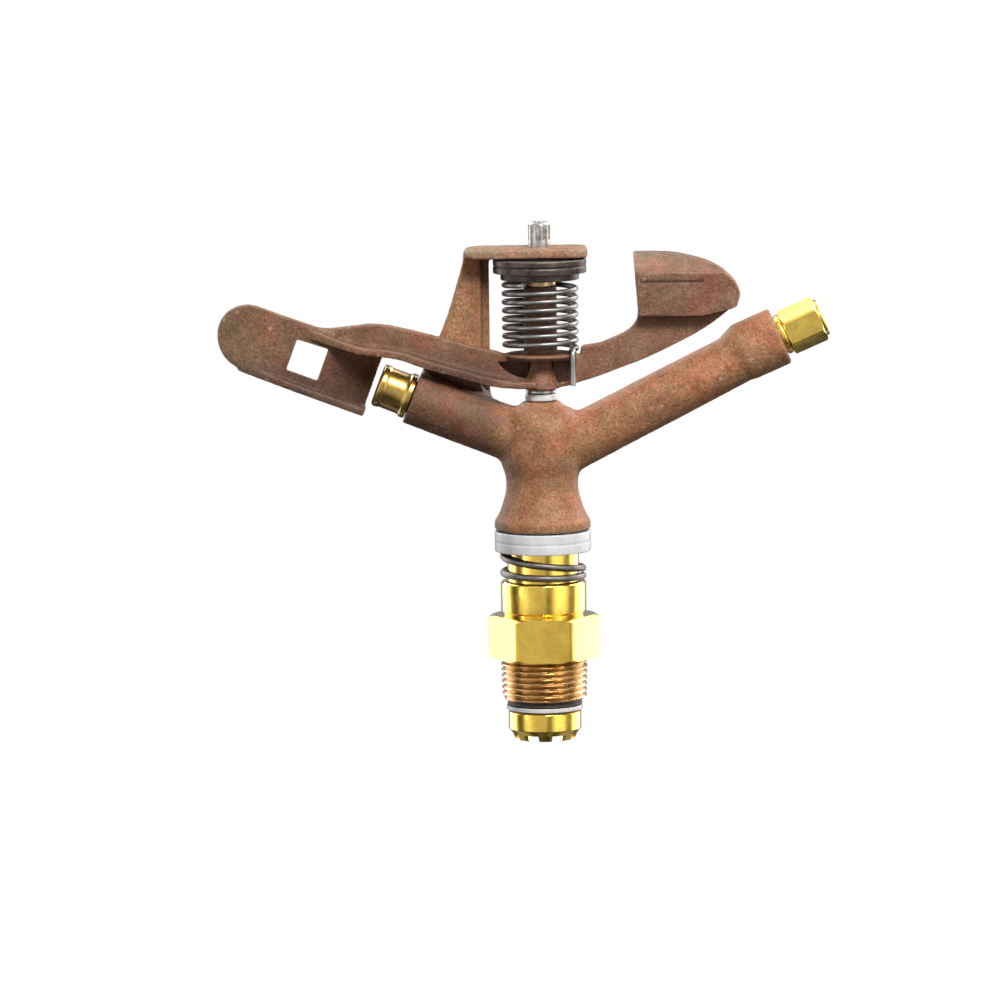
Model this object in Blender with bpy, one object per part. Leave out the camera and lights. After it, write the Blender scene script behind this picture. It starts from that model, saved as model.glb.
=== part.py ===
"""Impact sprinkler on a 3/4 inch male bearing, as separate pieces.

The origin is on the rotation axis, in the plane of the hexagon's lower shoulder,
where the male thread meets the wrench flats. +Z is up along the axis, +X points
along the range barrel and -Y is the side the hexagon shows square-on.
"""
from math import cos, pi, radians, sin

import bmesh
import bpy
from mathutils import Matrix, Vector

MM = 0.001
GAP = 0.3 * MM
PHASE = 0.31

# Bearing, bottom to top
TUBE_BOTTOM = -23.4 * MM
TUBE_FLANGE_TOP = -16.3 * MM
TUBE_FLANGE_RADIUS = 11.2 * MM
TUBE_RADIUS = 9.0 * MM
TUBE_BORE = 7.2 * MM
TUBE_TOP = 52.2 * MM
SPANNER_SLOTS = 8
SPANNER_SLOT_DEPTH = 1.8 * MM
NIPPLE_BORE = TUBE_RADIUS + GAP
THREAD_BOTTOM = -12.8 * MM
THREAD_TOP = -0.9 * MM
THREAD_RADIUS = 13.33 * MM
THREAD_TAPER = 1.0 / 32.0
THREAD_PITCH = 25.4 / 14.0 * MM
THREAD_DEPTH = 0.8 * MM
HEX_FLATS = 30.0 * MM
HEX_TOP = 13.3 * MM
NIPPLE_RADIUS = 13.1 * MM
NIPPLE_SHOULDER = 23.8 * MM
COLLAR_RADIUS = 11.0 * MM
COLLAR_TOP = 33.4 * MM
GUARD_BOTTOM = 33.0 * MM
GUARD_WEB = 37.0 * MM
GUARD_TOP = 39.2 * MM
GUARD_RADIUS = 14.8 * MM
GUARD_WALL = 1.2 * MM

# Seal spring: left-hand, both ends closed
SEAL_WIRE = 1.05 * MM
SEAL_COIL = 12.2 * MM
SEAL_CLOSED_PITCH = 2.25 * MM
SEAL_OPEN_PITCH = 8.2 * MM
SEAL_OPEN_TURNS = 0.73

# Head casting
FLANGE_BOTTOM = 39.8 * MM
FLANGE_RADIUS = 14.7 * MM
WASHER_RECESS_RADIUS = 13.6 * MM
WASHER_RECESS_TOP = 41.8 * MM
BOSS_RADIUS = 6.15 * MM
BOSS_TOP = 79.0 * MM
RANGE_ANGLE = radians(26.8)
RANGE_ROOT_Z = 61.0 * MM
RANGE_MOUTH = (73.35 * MM, 98.2 * MM)
RANGE_MOUTH_ANGLE = radians(23.5)
RANGE_BORE = 6.2 * MM
SPREADER_ANGLE = radians(21.5)
SPREADER_ROOT_Z = 65.22 * MM
SPREADER_MOUTH = (-39.55 * MM, 80.8 * MM)
JET_ANGLE = radians(20.5)
SPREADER_BORE = 5.3 * MM
SPREADER_LENGTH = 11.1 * MM
NOZZLE_FLATS = 12.7 * MM
NOZZLE_END = 14.2 * MM
LEG_FRONT = 1.3 * MM
LEG_BACK = 7.5 * MM
LEG_INSIDE = -15.5 * MM
BAR_BOTTOM = 123.1 * MM
BAR_TOP = 126.4 * MM
BAR_LEFT = -23.4 * MM
BAR_RIGHT = 14.6 * MM
BAR_HALF_DEPTH = 8.0 * MM

# Pin, cap and arm
PIN_RADIUS = 2.4 * MM
PIN_HEAD_RADIUS = 3.35 * MM
PIN_BOTTOM = 72.8 * MM
PIN_SHOULDER = 116.7 * MM
PIN_TOP = 134.0 * MM
CAP_STEP_BOTTOM = 116.4 * MM
CAP_BOTTOM = 118.5 * MM
CAP_TOP = BAR_BOTTOM - GAP
CAP_RADIUS = 14.3 * MM
CAP_STEP_RADIUS = 12.0 * MM
HUB_RADIUS = 5.1 * MM
HUB_BORE = 3.8 * MM
HUB_BOTTOM = 82.8 * MM
HUB_TOP = 114.4 * MM
SEAT_RADIUS = 11.4 * MM
SEAT_TOP = 93.9 * MM
BUSHING_BORE = PIN_RADIUS + GAP
BUSHING_RADIUS = HUB_BORE - GAP
LOWER_BUSHING_TOP = 93.0 * MM
ARM_WASHER_RADIUS = 4.9 * MM
THIN_EDGE = 0.1 * MM
SPRING_WIRE = 0.75 * MM
SPRING_COIL = 10.9 * MM
SPRING_TURNS = 7.75
WEB_FRONT = -3.0 * MM
WEB_BACK = 1.0 * MM
LIP_FRONT = -8.4 * MM
VANE_FRONT = -4.2 * MM
VANE_THICKNESS = 2.4 * MM
WEIGHT_FRONT = -8.0 * MM
WEIGHT_BACK = 4.0 * MM


def clear_scene():
    for item in list(bpy.data.objects):
        bpy.data.objects.remove(item, do_unlink=True)


def material(name, color, roughness, metallic):
    made = bpy.data.materials.new(name)
    made.use_nodes = True
    shader = made.node_tree.nodes["Principled BSDF"]
    shader.inputs["Base Color"].default_value = (*color, 1.0)
    shader.inputs["Roughness"].default_value = roughness
    shader.inputs["Metallic"].default_value = metallic
    return made


def mesh_object(name, bm, surface=None):
    bmesh.ops.recalc_face_normals(bm, faces=bm.faces)
    mesh = bpy.data.meshes.new(name)
    bm.to_mesh(mesh)
    bm.free()
    mesh.shade_smooth()
    mesh.set_sharp_from_angle(angle=radians(35))
    made = bpy.data.objects.new(name, mesh)
    if surface is not None:
        mesh.materials.append(surface)
    bpy.context.collection.objects.link(made)
    return made


def join_rings(bm, lower, upper):
    """Faces between two rings, either of which may be one point on the axis."""
    count = max(len(lower), len(upper))
    if count == 1:
        return
    for i in range(count):
        j = (i + 1) % count
        if len(lower) == 1:
            bm.faces.new((lower[0], upper[j], upper[i]))
        elif len(upper) == 1:
            bm.faces.new((lower[i], lower[j], upper[0]))
        else:
            bm.faces.new((lower[i], lower[j], upper[j], upper[i]))


def circle(radius, segments):
    """Points round a circle, none of them on the symmetry plane where shapes cross."""
    angles = [2 * pi * (i + PHASE) / segments for i in range(segments)]
    return [(radius * cos(angle), radius * sin(angle)) for angle in angles]


def turned(profile, segments=40):
    """Solid of revolution about Z from a closed (radius, height) outline."""
    bm = bmesh.new()
    rings = []
    for radius, height in profile:
        if radius == 0:
            rings.append([bm.verts.new((0, 0, height))])
        else:
            points = circle(radius, segments)
            rings.append([bm.verts.new((x, y, height)) for x, y in points])
    for lower, upper in zip(rings, rings[1:] + rings[:1]):
        join_rings(bm, lower, upper)
    return bm


def ring_profile(inner, outer, bottom, top, chamfer):
    """Outline of a washer or sleeve with its outer edges chamfered."""
    return [(inner, bottom), (outer - chamfer, bottom), (outer, bottom + chamfer),
            (outer, top - chamfer), (outer - chamfer, top), (inner, top)]


def rod(radius, bottom, top, segments=28, top_radius=None):
    """A closed frustum standing on Z."""
    upper = radius if top_radius is None else top_radius
    return turned([(0, bottom), (radius, bottom), (upper, top), (0, top)], segments)


def hexagon_rod(flats, bottom, top, turn, chamfer):
    """Hexagon prism with its corners turned off at both ends, of across-flats width."""
    corner = flats / 2 / cos(pi / 6)
    bm = bmesh.new()
    rings = []
    for height, inset in ((bottom, chamfer), (bottom + chamfer * 0.6, 0),
                          (top - chamfer * 0.6, 0), (top, chamfer)):
        ring = []
        for i in range(6):
            angle = turn + i * pi / 3
            reach = corner - inset
            ring.append(bm.verts.new((reach * cos(angle), reach * sin(angle), height)))
        rings.append(ring)
    for lower, upper in zip(rings, rings[1:]):
        join_rings(bm, lower, upper)
    bm.faces.new(rings[0])
    bm.faces.new(rings[-1])
    return bm


def extruded(outline, near, far, to_world):
    """Prism over a closed outline of (a, b) points, placed by to_world(a, b, depth)."""
    bm = bmesh.new()
    rings = [[bm.verts.new(to_world(a, b, depth)) for a, b in outline]
             for depth in (near, far)]
    join_rings(bm, *rings)
    bm.faces.new(rings[0])
    bm.faces.new(rings[1])
    return bm


def front(x, z, y):
    """Places an outline drawn as seen from the front, at depth y."""
    return (x, y, z)


def plan(x, y, z):
    """Places an outline drawn as seen from above, at height z."""
    return (x, y, z)


def side(y, z, x):
    """Places an outline drawn as seen from the side, at x."""
    return (x, y, z)


def in_mm(points):
    return [(a * MM, b * MM) for a, b in points]


def aimed(origin, angle):
    """Matrix that turns +Z to a direction in the XZ plane and moves it to origin.

    The angle is the rise above horizontal; pass pi - angle for a leftward aim.
    """
    direction = Vector((cos(angle), 0, sin(angle)))
    across = Vector((0, 1, 0))
    frame = Matrix((across.cross(direction), across, direction)).transposed().to_4x4()
    return Matrix.Translation(Vector((origin[0], 0, origin[1]))) @ frame


def moved(bm, matrix):
    bmesh.ops.transform(bm, matrix=matrix, verts=bm.verts)
    return bm


def boolean(base, shapes, operation):
    """Apply one exact Boolean after another and drop the shapes used up."""
    for i, bm in enumerate(shapes):
        tool = mesh_object(f"{base.name}_tool_{i}", bm)
        step = base.modifiers.new("Boolean", "BOOLEAN")
        step.operation = operation
        step.solver = "EXACT"
        step.object = tool
        graph = bpy.context.evaluated_depsgraph_get()
        result = bpy.data.meshes.new_from_object(base.evaluated_get(graph))
        base.modifiers.clear()
        base.data = result
        bpy.data.objects.remove(tool, do_unlink=True)
    base.data.shade_smooth()
    base.data.set_sharp_from_angle(angle=radians(35))


def along_wire(points, radius, sides=8):
    """Closed tube round a list of points, with flat ends."""
    bm = bmesh.new()
    rings = []
    normal = Vector((0, 0, 1))
    for i, point in enumerate(points):
        ahead = points[min(i + 1, len(points) - 1)]
        behind = points[max(i - 1, 0)]
        tangent = (ahead - behind).normalized()
        across = tangent.cross(normal).normalized()
        normal = across.cross(tangent).normalized()
        rings.append([bm.verts.new(point + across * x + normal * y)
                      for x, y in circle(radius, sides)])
    for lower, upper in zip(rings, rings[1:]):
        join_rings(bm, lower, upper)
    bm.faces.new(rings[0])
    bm.faces.new(rings[-1])
    return bm


def bearing_tube(brass):
    """Turning tube: a spanner flange below, screwed into the casting above."""
    bottom = TUBE_BOTTOM - SPANNER_SLOT_DEPTH
    lip = TUBE_FLANGE_RADIUS - 1.2 * MM
    profile = [(TUBE_BORE, bottom), (lip, bottom), (lip, TUBE_BOTTOM),
               (TUBE_FLANGE_RADIUS, TUBE_BOTTOM + 1.1 * MM),
               (TUBE_FLANGE_RADIUS, TUBE_FLANGE_TOP - 0.4 * MM),
               (TUBE_FLANGE_RADIUS - 0.4 * MM, TUBE_FLANGE_TOP),
               (TUBE_RADIUS, TUBE_FLANGE_TOP), (TUBE_RADIUS, TUBE_TOP), (TUBE_BORE, TUBE_TOP)]
    tube = mesh_object("bearing_tube", turned(profile), brass)
    slots = []
    width = 3.4 * MM
    for i in range(SPANNER_SLOTS // 2):
        bar = extruded([(-15 * MM, -width / 2), (15 * MM, -width / 2),
                        (15 * MM, width / 2), (-15 * MM, width / 2)],
                       bottom - 1 * MM, TUBE_BOTTOM, plan)
        turn = (i + 0.5) * 2 * pi / SPANNER_SLOTS
        slots.append(moved(bar, Matrix.Rotation(turn, 4, "Z")))
    boolean(tube, slots, "DIFFERENCE")


def thread_profile():
    """Sawtooth outline of the tapered thread, from its small end up."""
    points = []
    turns = int((THREAD_TOP - THREAD_BOTTOM) / THREAD_PITCH)
    for i in range(turns):
        z = THREAD_BOTTOM + i * THREAD_PITCH
        crest = THREAD_RADIUS - (THREAD_TOP - z) * THREAD_TAPER
        points.append((crest - THREAD_DEPTH, z))
        points.append((crest, z + THREAD_PITCH * 0.45))
        points.append((crest, z + THREAD_PITCH * 0.6))
    return points


def bearing_nipple(brass):
    """Fixed nipple: male thread, hexagon, barrel and collar round the turning tube."""
    profile = [(0, THREAD_BOTTOM)] + thread_profile()
    profile += [(THREAD_RADIUS - THREAD_DEPTH, THREAD_TOP),
                (THREAD_RADIUS - THREAD_DEPTH, 1 * MM),
                (NIPPLE_RADIUS, 2 * MM), (NIPPLE_RADIUS, NIPPLE_SHOULDER - 0.5 * MM),
                (NIPPLE_RADIUS - 0.5 * MM, NIPPLE_SHOULDER),
                (COLLAR_RADIUS, NIPPLE_SHOULDER), (COLLAR_RADIUS, COLLAR_TOP - 0.4 * MM),
                (COLLAR_RADIUS - 0.4 * MM, COLLAR_TOP), (0, COLLAR_TOP)]
    nipple = mesh_object("bearing_nipple", turned(profile), brass)
    boolean(nipple, [hexagon_rod(HEX_FLATS, 0, HEX_TOP, 0, 1.6 * MM)], "UNION")
    bore = rod(NIPPLE_BORE, THREAD_BOTTOM - 1 * MM, COLLAR_TOP + 1 * MM, 40)
    boolean(nipple, [bore], "DIFFERENCE")


def lower_washers(rubber, nylon):
    """Face seal below the nipple: black rubber on top, white washer under it."""
    inner = TUBE_RADIUS + GAP
    top = THREAD_BOTTOM - GAP
    middle = (top + TUBE_FLANGE_TOP + GAP) / 2
    mesh_object("lower_seal_washer",
                turned(ring_profile(inner, 11.6 * MM, middle + GAP / 2, top, 0.3 * MM)), rubber)
    mesh_object("lower_slip_washer",
                turned(ring_profile(inner, 11.7 * MM, TUBE_FLANGE_TOP + GAP,
                                    middle - GAP / 2, 0.2 * MM)), nylon)


def sand_guard(nylon):
    """White cup over the seal spring; it rides between the spring and the casting."""
    inside = GUARD_RADIUS - GUARD_WALL
    profile = [(TUBE_RADIUS + GAP, GUARD_WEB), (inside, GUARD_WEB), (inside, GUARD_BOTTOM),
               (GUARD_RADIUS - 0.3 * MM, GUARD_BOTTOM), (GUARD_RADIUS, GUARD_BOTTOM + 0.5 * MM),
               (GUARD_RADIUS, GUARD_TOP - 0.5 * MM), (GUARD_RADIUS - 0.5 * MM, GUARD_TOP),
               (TUBE_RADIUS + GAP, GUARD_TOP)]
    mesh_object("sand_guard", turned(profile), nylon)


def guard_washers(ptfe, steel):
    """Slip washer on the guard and a steel washer above it, in the casting's recess."""
    inner = TUBE_RADIUS + GAP
    outer = WASHER_RECESS_RADIUS - GAP
    slip_bottom = GUARD_TOP + GAP
    slip_top = slip_bottom + 0.9 * MM
    mesh_object("guard_slip_washer",
                turned(ring_profile(inner, outer, slip_bottom, slip_top, THIN_EDGE)), ptfe)
    mesh_object("guard_steel_washer",
                turned(ring_profile(inner, outer, slip_top + GAP,
                                    WASHER_RECESS_TOP - GAP, THIN_EDGE)), steel)


def seal_spring_height(turns):
    """Wire centre's height after a number of turns from the bottom."""
    closed = SEAL_CLOSED_PITCH * min(turns, 1)
    opened = SEAL_OPEN_PITCH * min(max(turns - 1, 0), SEAL_OPEN_TURNS)
    last = SEAL_CLOSED_PITCH * max(turns - 1 - SEAL_OPEN_TURNS, 0)
    return NIPPLE_SHOULDER + GAP + SEAL_WIRE + closed + opened + last


def seal_spring(steel):
    turns = 2 + SEAL_OPEN_TURNS
    count = int(turns * 24)
    points = []
    for i in range(count + 1):
        t = turns * i / count
        angle = -2 * pi * t
        points.append(Vector((SEAL_COIL * cos(angle), SEAL_COIL * sin(angle),
                              seal_spring_height(t))))
    mesh_object("seal_spring", along_wire(points, SEAL_WIRE), steel)


def trunk():
    """Turned outline of the head's trunk, from the flange up to the pin boss."""
    outline = [(0, FLANGE_BOTTOM), (FLANGE_RADIUS, FLANGE_BOTTOM),
               (FLANGE_RADIUS, 42.6 * MM), (13.7 * MM, 43.8 * MM), (12.7 * MM, 46.0 * MM),
               (11.9 * MM, 48.6 * MM), (11.2 * MM, 51.2 * MM), (11.0 * MM, 54.0 * MM),
               (11.3 * MM, 56.6 * MM), (12.2 * MM, 59.0 * MM), (12.9 * MM, 62.5 * MM),
               (12.9 * MM, 68.0 * MM), (12.2 * MM, 73.0 * MM), (9.8 * MM, 76.4 * MM),
               (7.2 * MM, 77.5 * MM), (BOSS_RADIUS, 78.2 * MM), (BOSS_RADIUS, BOSS_TOP),
               (0, BOSS_TOP)]
    return turned(outline, 40)


def barrel(root_z, angle, length, radius, mouth_radius):
    return moved(rod(radius, -4 * MM, length, 28, mouth_radius), aimed((0, root_z), angle))


def bridge_leg():
    """Side view of the upright behind the arm, with its gusset on the left barrel."""
    left_edge = in_mm([(-23.1, 125.6), (-23.6, 121.0), (-25.2, 115.5), (-27.6, 107.5),
                       (-30.2, 100.6), (-33.2, 94.4), (-36.2, 89.2)])
    foot = in_mm([(-35.2, 82.0), (-13.0, 70.0), (-12.0, 76.0), (-14.6, 79.0)])
    right_edge = [(LEG_INSIDE, 81.5 * MM), (LEG_INSIDE, 121.6 * MM)]
    fillet = in_mm([(-14.8, 122.8), (-10.0, 124.0), (-10.0, 125.6)])
    return extruded(left_edge + foot + right_edge + fillet, LEG_FRONT, LEG_BACK, front)


def rounded_rectangle(left, right, low, high, radius, steps=4):
    points = []
    centres = ((right - radius, high - radius, 0), (left + radius, high - radius, pi / 2),
               (left + radius, low + radius, pi), (right - radius, low + radius, 3 * pi / 2))
    for x, y, start in centres:
        for i in range(steps + 1):
            angle = start + i * pi / 2 / steps
            points.append((x + radius * cos(angle), y + radius * sin(angle)))
    return points


def body_casting(bronze):
    """Hollow head: flange, trunk, two barrels, pin boss and the bridge over the arm."""
    casting = mesh_object("body_casting", trunk(), bronze)
    range_length = RANGE_MOUTH[0] / cos(RANGE_ANGLE)
    spreader_length = -SPREADER_MOUTH[0] / cos(SPREADER_ANGLE)
    mouth_frame = aimed(RANGE_MOUTH, RANGE_MOUTH_ANGLE)
    boss = turned([(0, -17 * MM), (7.0 * MM, -17 * MM), (9.0 * MM, -12.4 * MM),
                   (9.0 * MM, -0.6 * MM), (8.4 * MM, 0), (0, 0)], 28)
    bar = extruded(rounded_rectangle(BAR_LEFT, BAR_RIGHT, -BAR_HALF_DEPTH, BAR_HALF_DEPTH,
                                     5 * MM), BAR_BOTTOM, BAR_TOP, plan)
    boolean(casting, [
        barrel(RANGE_ROOT_Z, RANGE_ANGLE, range_length - 6 * MM, 8.5 * MM, 8.15 * MM),
        moved(boss, mouth_frame),
        barrel(SPREADER_ROOT_Z, pi - SPREADER_ANGLE, spreader_length, 8.5 * MM, 8.3 * MM),
        bridge_leg(),
        bar,
    ], "UNION")
    boolean(casting, [rod(PIN_RADIUS + GAP, PIN_BOTTOM - GAP, 100 * MM, 24)], "DIFFERENCE")
    boolean(casting, [rod(PIN_HEAD_RADIUS + GAP, 120 * MM, 130 * MM, 24)], "DIFFERENCE")
    boolean(casting, [waterway(range_length, spreader_length)], "DIFFERENCE")


def waterway(range_length, spreader_length):
    """Everything the casting is bored out to: washer recess, tube socket and barrels."""
    socket = TUBE_RADIUS + GAP
    column = mesh_object("waterway", turned([
        (0, 38 * MM), (WASHER_RECESS_RADIUS, 38 * MM),
        (WASHER_RECESS_RADIUS, WASHER_RECESS_TOP), (socket, WASHER_RECESS_TOP),
        (socket, TUBE_TOP + GAP), (TUBE_BORE, TUBE_TOP + GAP), (6.3 * MM, 61.7 * MM),
        (0, 61.7 * MM)], 40))
    boolean(column, [
        moved(rod(5.6 * MM, -1.5 * MM, range_length - 8 * MM, 28),
              aimed((0, RANGE_ROOT_Z), RANGE_ANGLE)),
        moved(rod(RANGE_BORE, -13 * MM, 1 * MM, 28),
              aimed(RANGE_MOUTH, RANGE_MOUTH_ANGLE)),
        moved(rod(4.3 * MM, -1.5 * MM, spreader_length - 7 * MM, 26),
              aimed((0, SPREADER_ROOT_Z), pi - SPREADER_ANGLE)),
        moved(rod(SPREADER_BORE, -9 * MM, 3 * MM, 28),
              aimed(SPREADER_MOUTH, pi - SPREADER_ANGLE)),
    ], "UNION")
    bm = bmesh.new()
    bm.from_mesh(column.data)
    bpy.data.objects.remove(column, do_unlink=True)
    return bm


def range_nozzle(brass):
    """Hexagon nozzle of the range barrel, bored to a taper."""
    frame = aimed(RANGE_MOUTH, RANGE_MOUTH_ANGLE)
    nozzle = mesh_object("range_nozzle", rod(RANGE_BORE - GAP, -9 * MM, 1.4 * MM, 28), brass)
    head = hexagon_rod(NOZZLE_FLATS, 1.2 * MM, NOZZLE_END, 0, 0.7 * MM)
    collar = rod(5.9 * MM, GAP, 1.6 * MM, 28)
    boolean(nozzle, [collar, head], "UNION")
    boolean(nozzle, [
        turned([(0, -10 * MM), (4.7 * MM, -10 * MM), (4.7 * MM, -6 * MM), (2.4 * MM, 9 * MM),
                (2.4 * MM, 12.2 * MM), (4.2 * MM, 15 * MM), (0, 15 * MM)], 28),
    ], "DIFFERENCE")
    nozzle.matrix_world = frame


def spreader_nozzle(brass):
    """Round brass nozzle of the short barrel, with a rolled rim."""
    nozzle = mesh_object("spreader_nozzle", turned([
        (0, -8 * MM), (SPREADER_BORE - GAP, -8 * MM), (SPREADER_BORE - GAP, GAP),
        (7.1 * MM, GAP), (7.1 * MM, 2.2 * MM), (6.5 * MM, 3.0 * MM), (6.2 * MM, 7.6 * MM),
        (6.7 * MM, 8.4 * MM), (6.7 * MM, 10.6 * MM), (6.2 * MM, SPREADER_LENGTH),
        (0, SPREADER_LENGTH)], 28), brass)
    bore = turned([(0, -9 * MM), (3.9 * MM, -9 * MM), (3.9 * MM, -5 * MM), (1.9 * MM, 7 * MM),
                   (1.9 * MM, 9.4 * MM), (4.0 * MM, 12 * MM), (0, 12 * MM)], 28)
    boolean(nozzle, [bore], "DIFFERENCE")
    nozzle.matrix_world = aimed(SPREADER_MOUTH, pi - SPREADER_ANGLE)


def straightening_vane(brass):
    """Cross-shaped vane inside the range barrel that calms the water."""
    reach = 5.6 * MM - GAP
    half = 0.4 * MM
    outline = []
    for i in range(4):
        turn = Matrix.Rotation(i * pi / 2, 2)
        for point in ((reach, -half), (reach, half), (half, half)):
            outline.append(tuple(turn @ Vector(point)))
    vane = mesh_object("straightening_vane", extruded(outline, 30 * MM, 56 * MM, plan), brass)
    vane.matrix_world = aimed((0, RANGE_ROOT_Z), RANGE_ANGLE)


def fulcrum_pin(steel):
    """Pin that the arm swings on: plain shank, and a fluted head above the bridge."""
    bm = bmesh.new()
    segments = 24
    levels = [(PIN_RADIUS, PIN_BOTTOM, 0), (PIN_RADIUS, PIN_SHOULDER, 0),
              (PIN_HEAD_RADIUS, PIN_SHOULDER, 0), (PIN_HEAD_RADIUS, 129.4 * MM, 0),
              (PIN_HEAD_RADIUS, 129.9 * MM, 0.4 * MM), (PIN_HEAD_RADIUS, 133.4 * MM, 0.4 * MM),
              (PIN_HEAD_RADIUS - 0.6 * MM, PIN_TOP, 0)]
    rings = [[bm.verts.new((0, 0, PIN_BOTTOM))]]
    for radius, height, flute in levels:
        ring = []
        for i in range(segments):
            reach = radius - (flute if i % 2 else 0)
            angle = 2 * pi * i / segments
            ring.append(bm.verts.new((reach * cos(angle), reach * sin(angle), height)))
        rings.append(ring)
    rings.append([bm.verts.new((0, 0, PIN_TOP))])
    for lower, upper in zip(rings, rings[1:]):
        join_rings(bm, lower, upper)
    mesh_object("fulcrum_pin", bm, steel)


def spring_cap(steel):
    """Round cap under the bridge that takes the top of the arm spring."""
    hole = PIN_HEAD_RADIUS + GAP
    profile = [(hole, CAP_STEP_BOTTOM), (CAP_STEP_RADIUS, CAP_STEP_BOTTOM),
               (CAP_STEP_RADIUS, CAP_BOTTOM), (CAP_RADIUS - 0.5 * MM, CAP_BOTTOM),
               (CAP_RADIUS, CAP_BOTTOM + 0.5 * MM), (CAP_RADIUS, CAP_TOP), (hole, CAP_TOP)]
    mesh_object("spring_cap", turned(profile), steel)


def arm_spring(steel):
    """Torsion spring round the hub, its lower end turned down beside the arm."""
    top = CAP_STEP_BOTTOM - GAP - SPRING_WIRE
    bottom = SEAT_TOP + GAP + SPRING_WIRE
    end_angle = radians(-30)
    start_angle = end_angle + 2 * pi * SPRING_TURNS
    count = int(SPRING_TURNS * 16)
    points = []
    for i in range(count + 1):
        t = i / count
        angle = start_angle + (end_angle - start_angle) * t
        points.append(Vector((SPRING_COIL * cos(angle), SPRING_COIL * sin(angle),
                              top + (bottom - top) * t)))
    corner = points[-1]
    outward = Vector((cos(end_angle), sin(end_angle), 0))
    sideways = Vector((sin(end_angle), -cos(end_angle), 0))
    for side, out, drop in ((1.0, 0.8, 0.0), (2.0, 1.6, 0.2), (2.6, 1.9, 1.2), (2.6, 1.9, 10.6)):
        points.append(corner + (sideways * side + outward * out - Vector((0, 0, drop))) * MM)
    mesh_object("arm_spring", along_wire(points, SPRING_WIRE, 6), steel)


def arm_bushings(bronze):
    """Upper and lower bearing sleeves pressed in the arm's hub."""
    flange_top = HUB_TOP + GAP + 1.0 * MM
    mesh_object("upper_arm_bushing", turned([
        (BUSHING_BORE, 104 * MM), (BUSHING_RADIUS, 104 * MM),
        (BUSHING_RADIUS, HUB_TOP + GAP), (4.9 * MM, HUB_TOP + GAP),
        (4.9 * MM, flange_top), (BUSHING_BORE, flange_top)], 28), bronze)
    mesh_object("lower_arm_bushing",
                turned(ring_profile(BUSHING_BORE, BUSHING_RADIUS, HUB_BOTTOM + GAP,
                                    LOWER_BUSHING_TOP, THIN_EDGE), 28), bronze)


def arm_washers(nylon, steel):
    """White friction washer on the boss and a thin steel washer under the hub."""
    inner = PIN_RADIUS + GAP
    white_top = BOSS_TOP + GAP + 2.1 * MM
    mesh_object("arm_friction_washer",
                turned(ring_profile(inner, ARM_WASHER_RADIUS, BOSS_TOP + GAP, white_top,
                                    0.3 * MM), 32), nylon)
    mesh_object("arm_steel_washer",
                turned(ring_profile(inner, ARM_WASHER_RADIUS - 0.2 * MM, white_top + GAP,
                                    HUB_BOTTOM - GAP, THIN_EDGE), 32), steel)


def jet_point(along, up, y):
    """World point from the jet's own frame, which starts at the spreader nozzle's end."""
    start_x = SPREADER_MOUTH[0] - SPREADER_LENGTH * cos(SPREADER_ANGLE)
    start_z = SPREADER_MOUTH[1] + SPREADER_LENGTH * sin(SPREADER_ANGLE)
    return (start_x - along * cos(JET_ANGLE) + up * sin(JET_ANGLE), y,
            start_z + along * sin(JET_ANGLE) + up * cos(JET_ANGLE))


def jet_plan(along, y, up):
    return jet_point(along, up, y)


def vane_curve():
    """Plan of the spoon: straight past the window, then curling back round the jet."""
    front_line = []
    back_line = []
    for i in range(11):
        along = 17.2 + 34.8 * i / 10
        curl = max(along - 33.0, 0) / 19.0
        bend = 9.5 * curl ** 2
        slope = 2 * 9.5 * curl / 19.0
        thick = VANE_THICKNESS / MM * (1 + slope * slope) ** 0.5
        front_line.append((along, VANE_FRONT / MM + bend))
        back_line.append((along, VANE_FRONT / MM + bend + thick))
    return in_mm(front_line + back_line[::-1])


def spoon_face():
    """Front view of the spoon in the jet's frame: a round end on a straight band."""
    half = 10.3
    centre = 41.6
    outline = [(17.2, -half), (centre, -half + 0.6)]
    for i in range(1, 12):
        angle = -pi / 2 + pi * i / 12
        outline.append((centre + 10.3 * cos(angle), 0.3 + 9.9 * sin(angle)))
    outline += [(centre, half), (17.2, half + 0.3)]
    return in_mm(outline)


def spoon():
    """Curved band cut to the spoon's outline, as one mesh."""
    band = mesh_object("spoon", extruded(vane_curve(), -13 * MM, 13 * MM, jet_plan))
    boolean(band, [extruded(spoon_face(), -20 * MM, 20 * MM, jet_point)], "INTERSECT")
    bm = bmesh.new()
    bm.from_mesh(band.data)
    bpy.data.objects.remove(band, do_unlink=True)
    return bm


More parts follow.
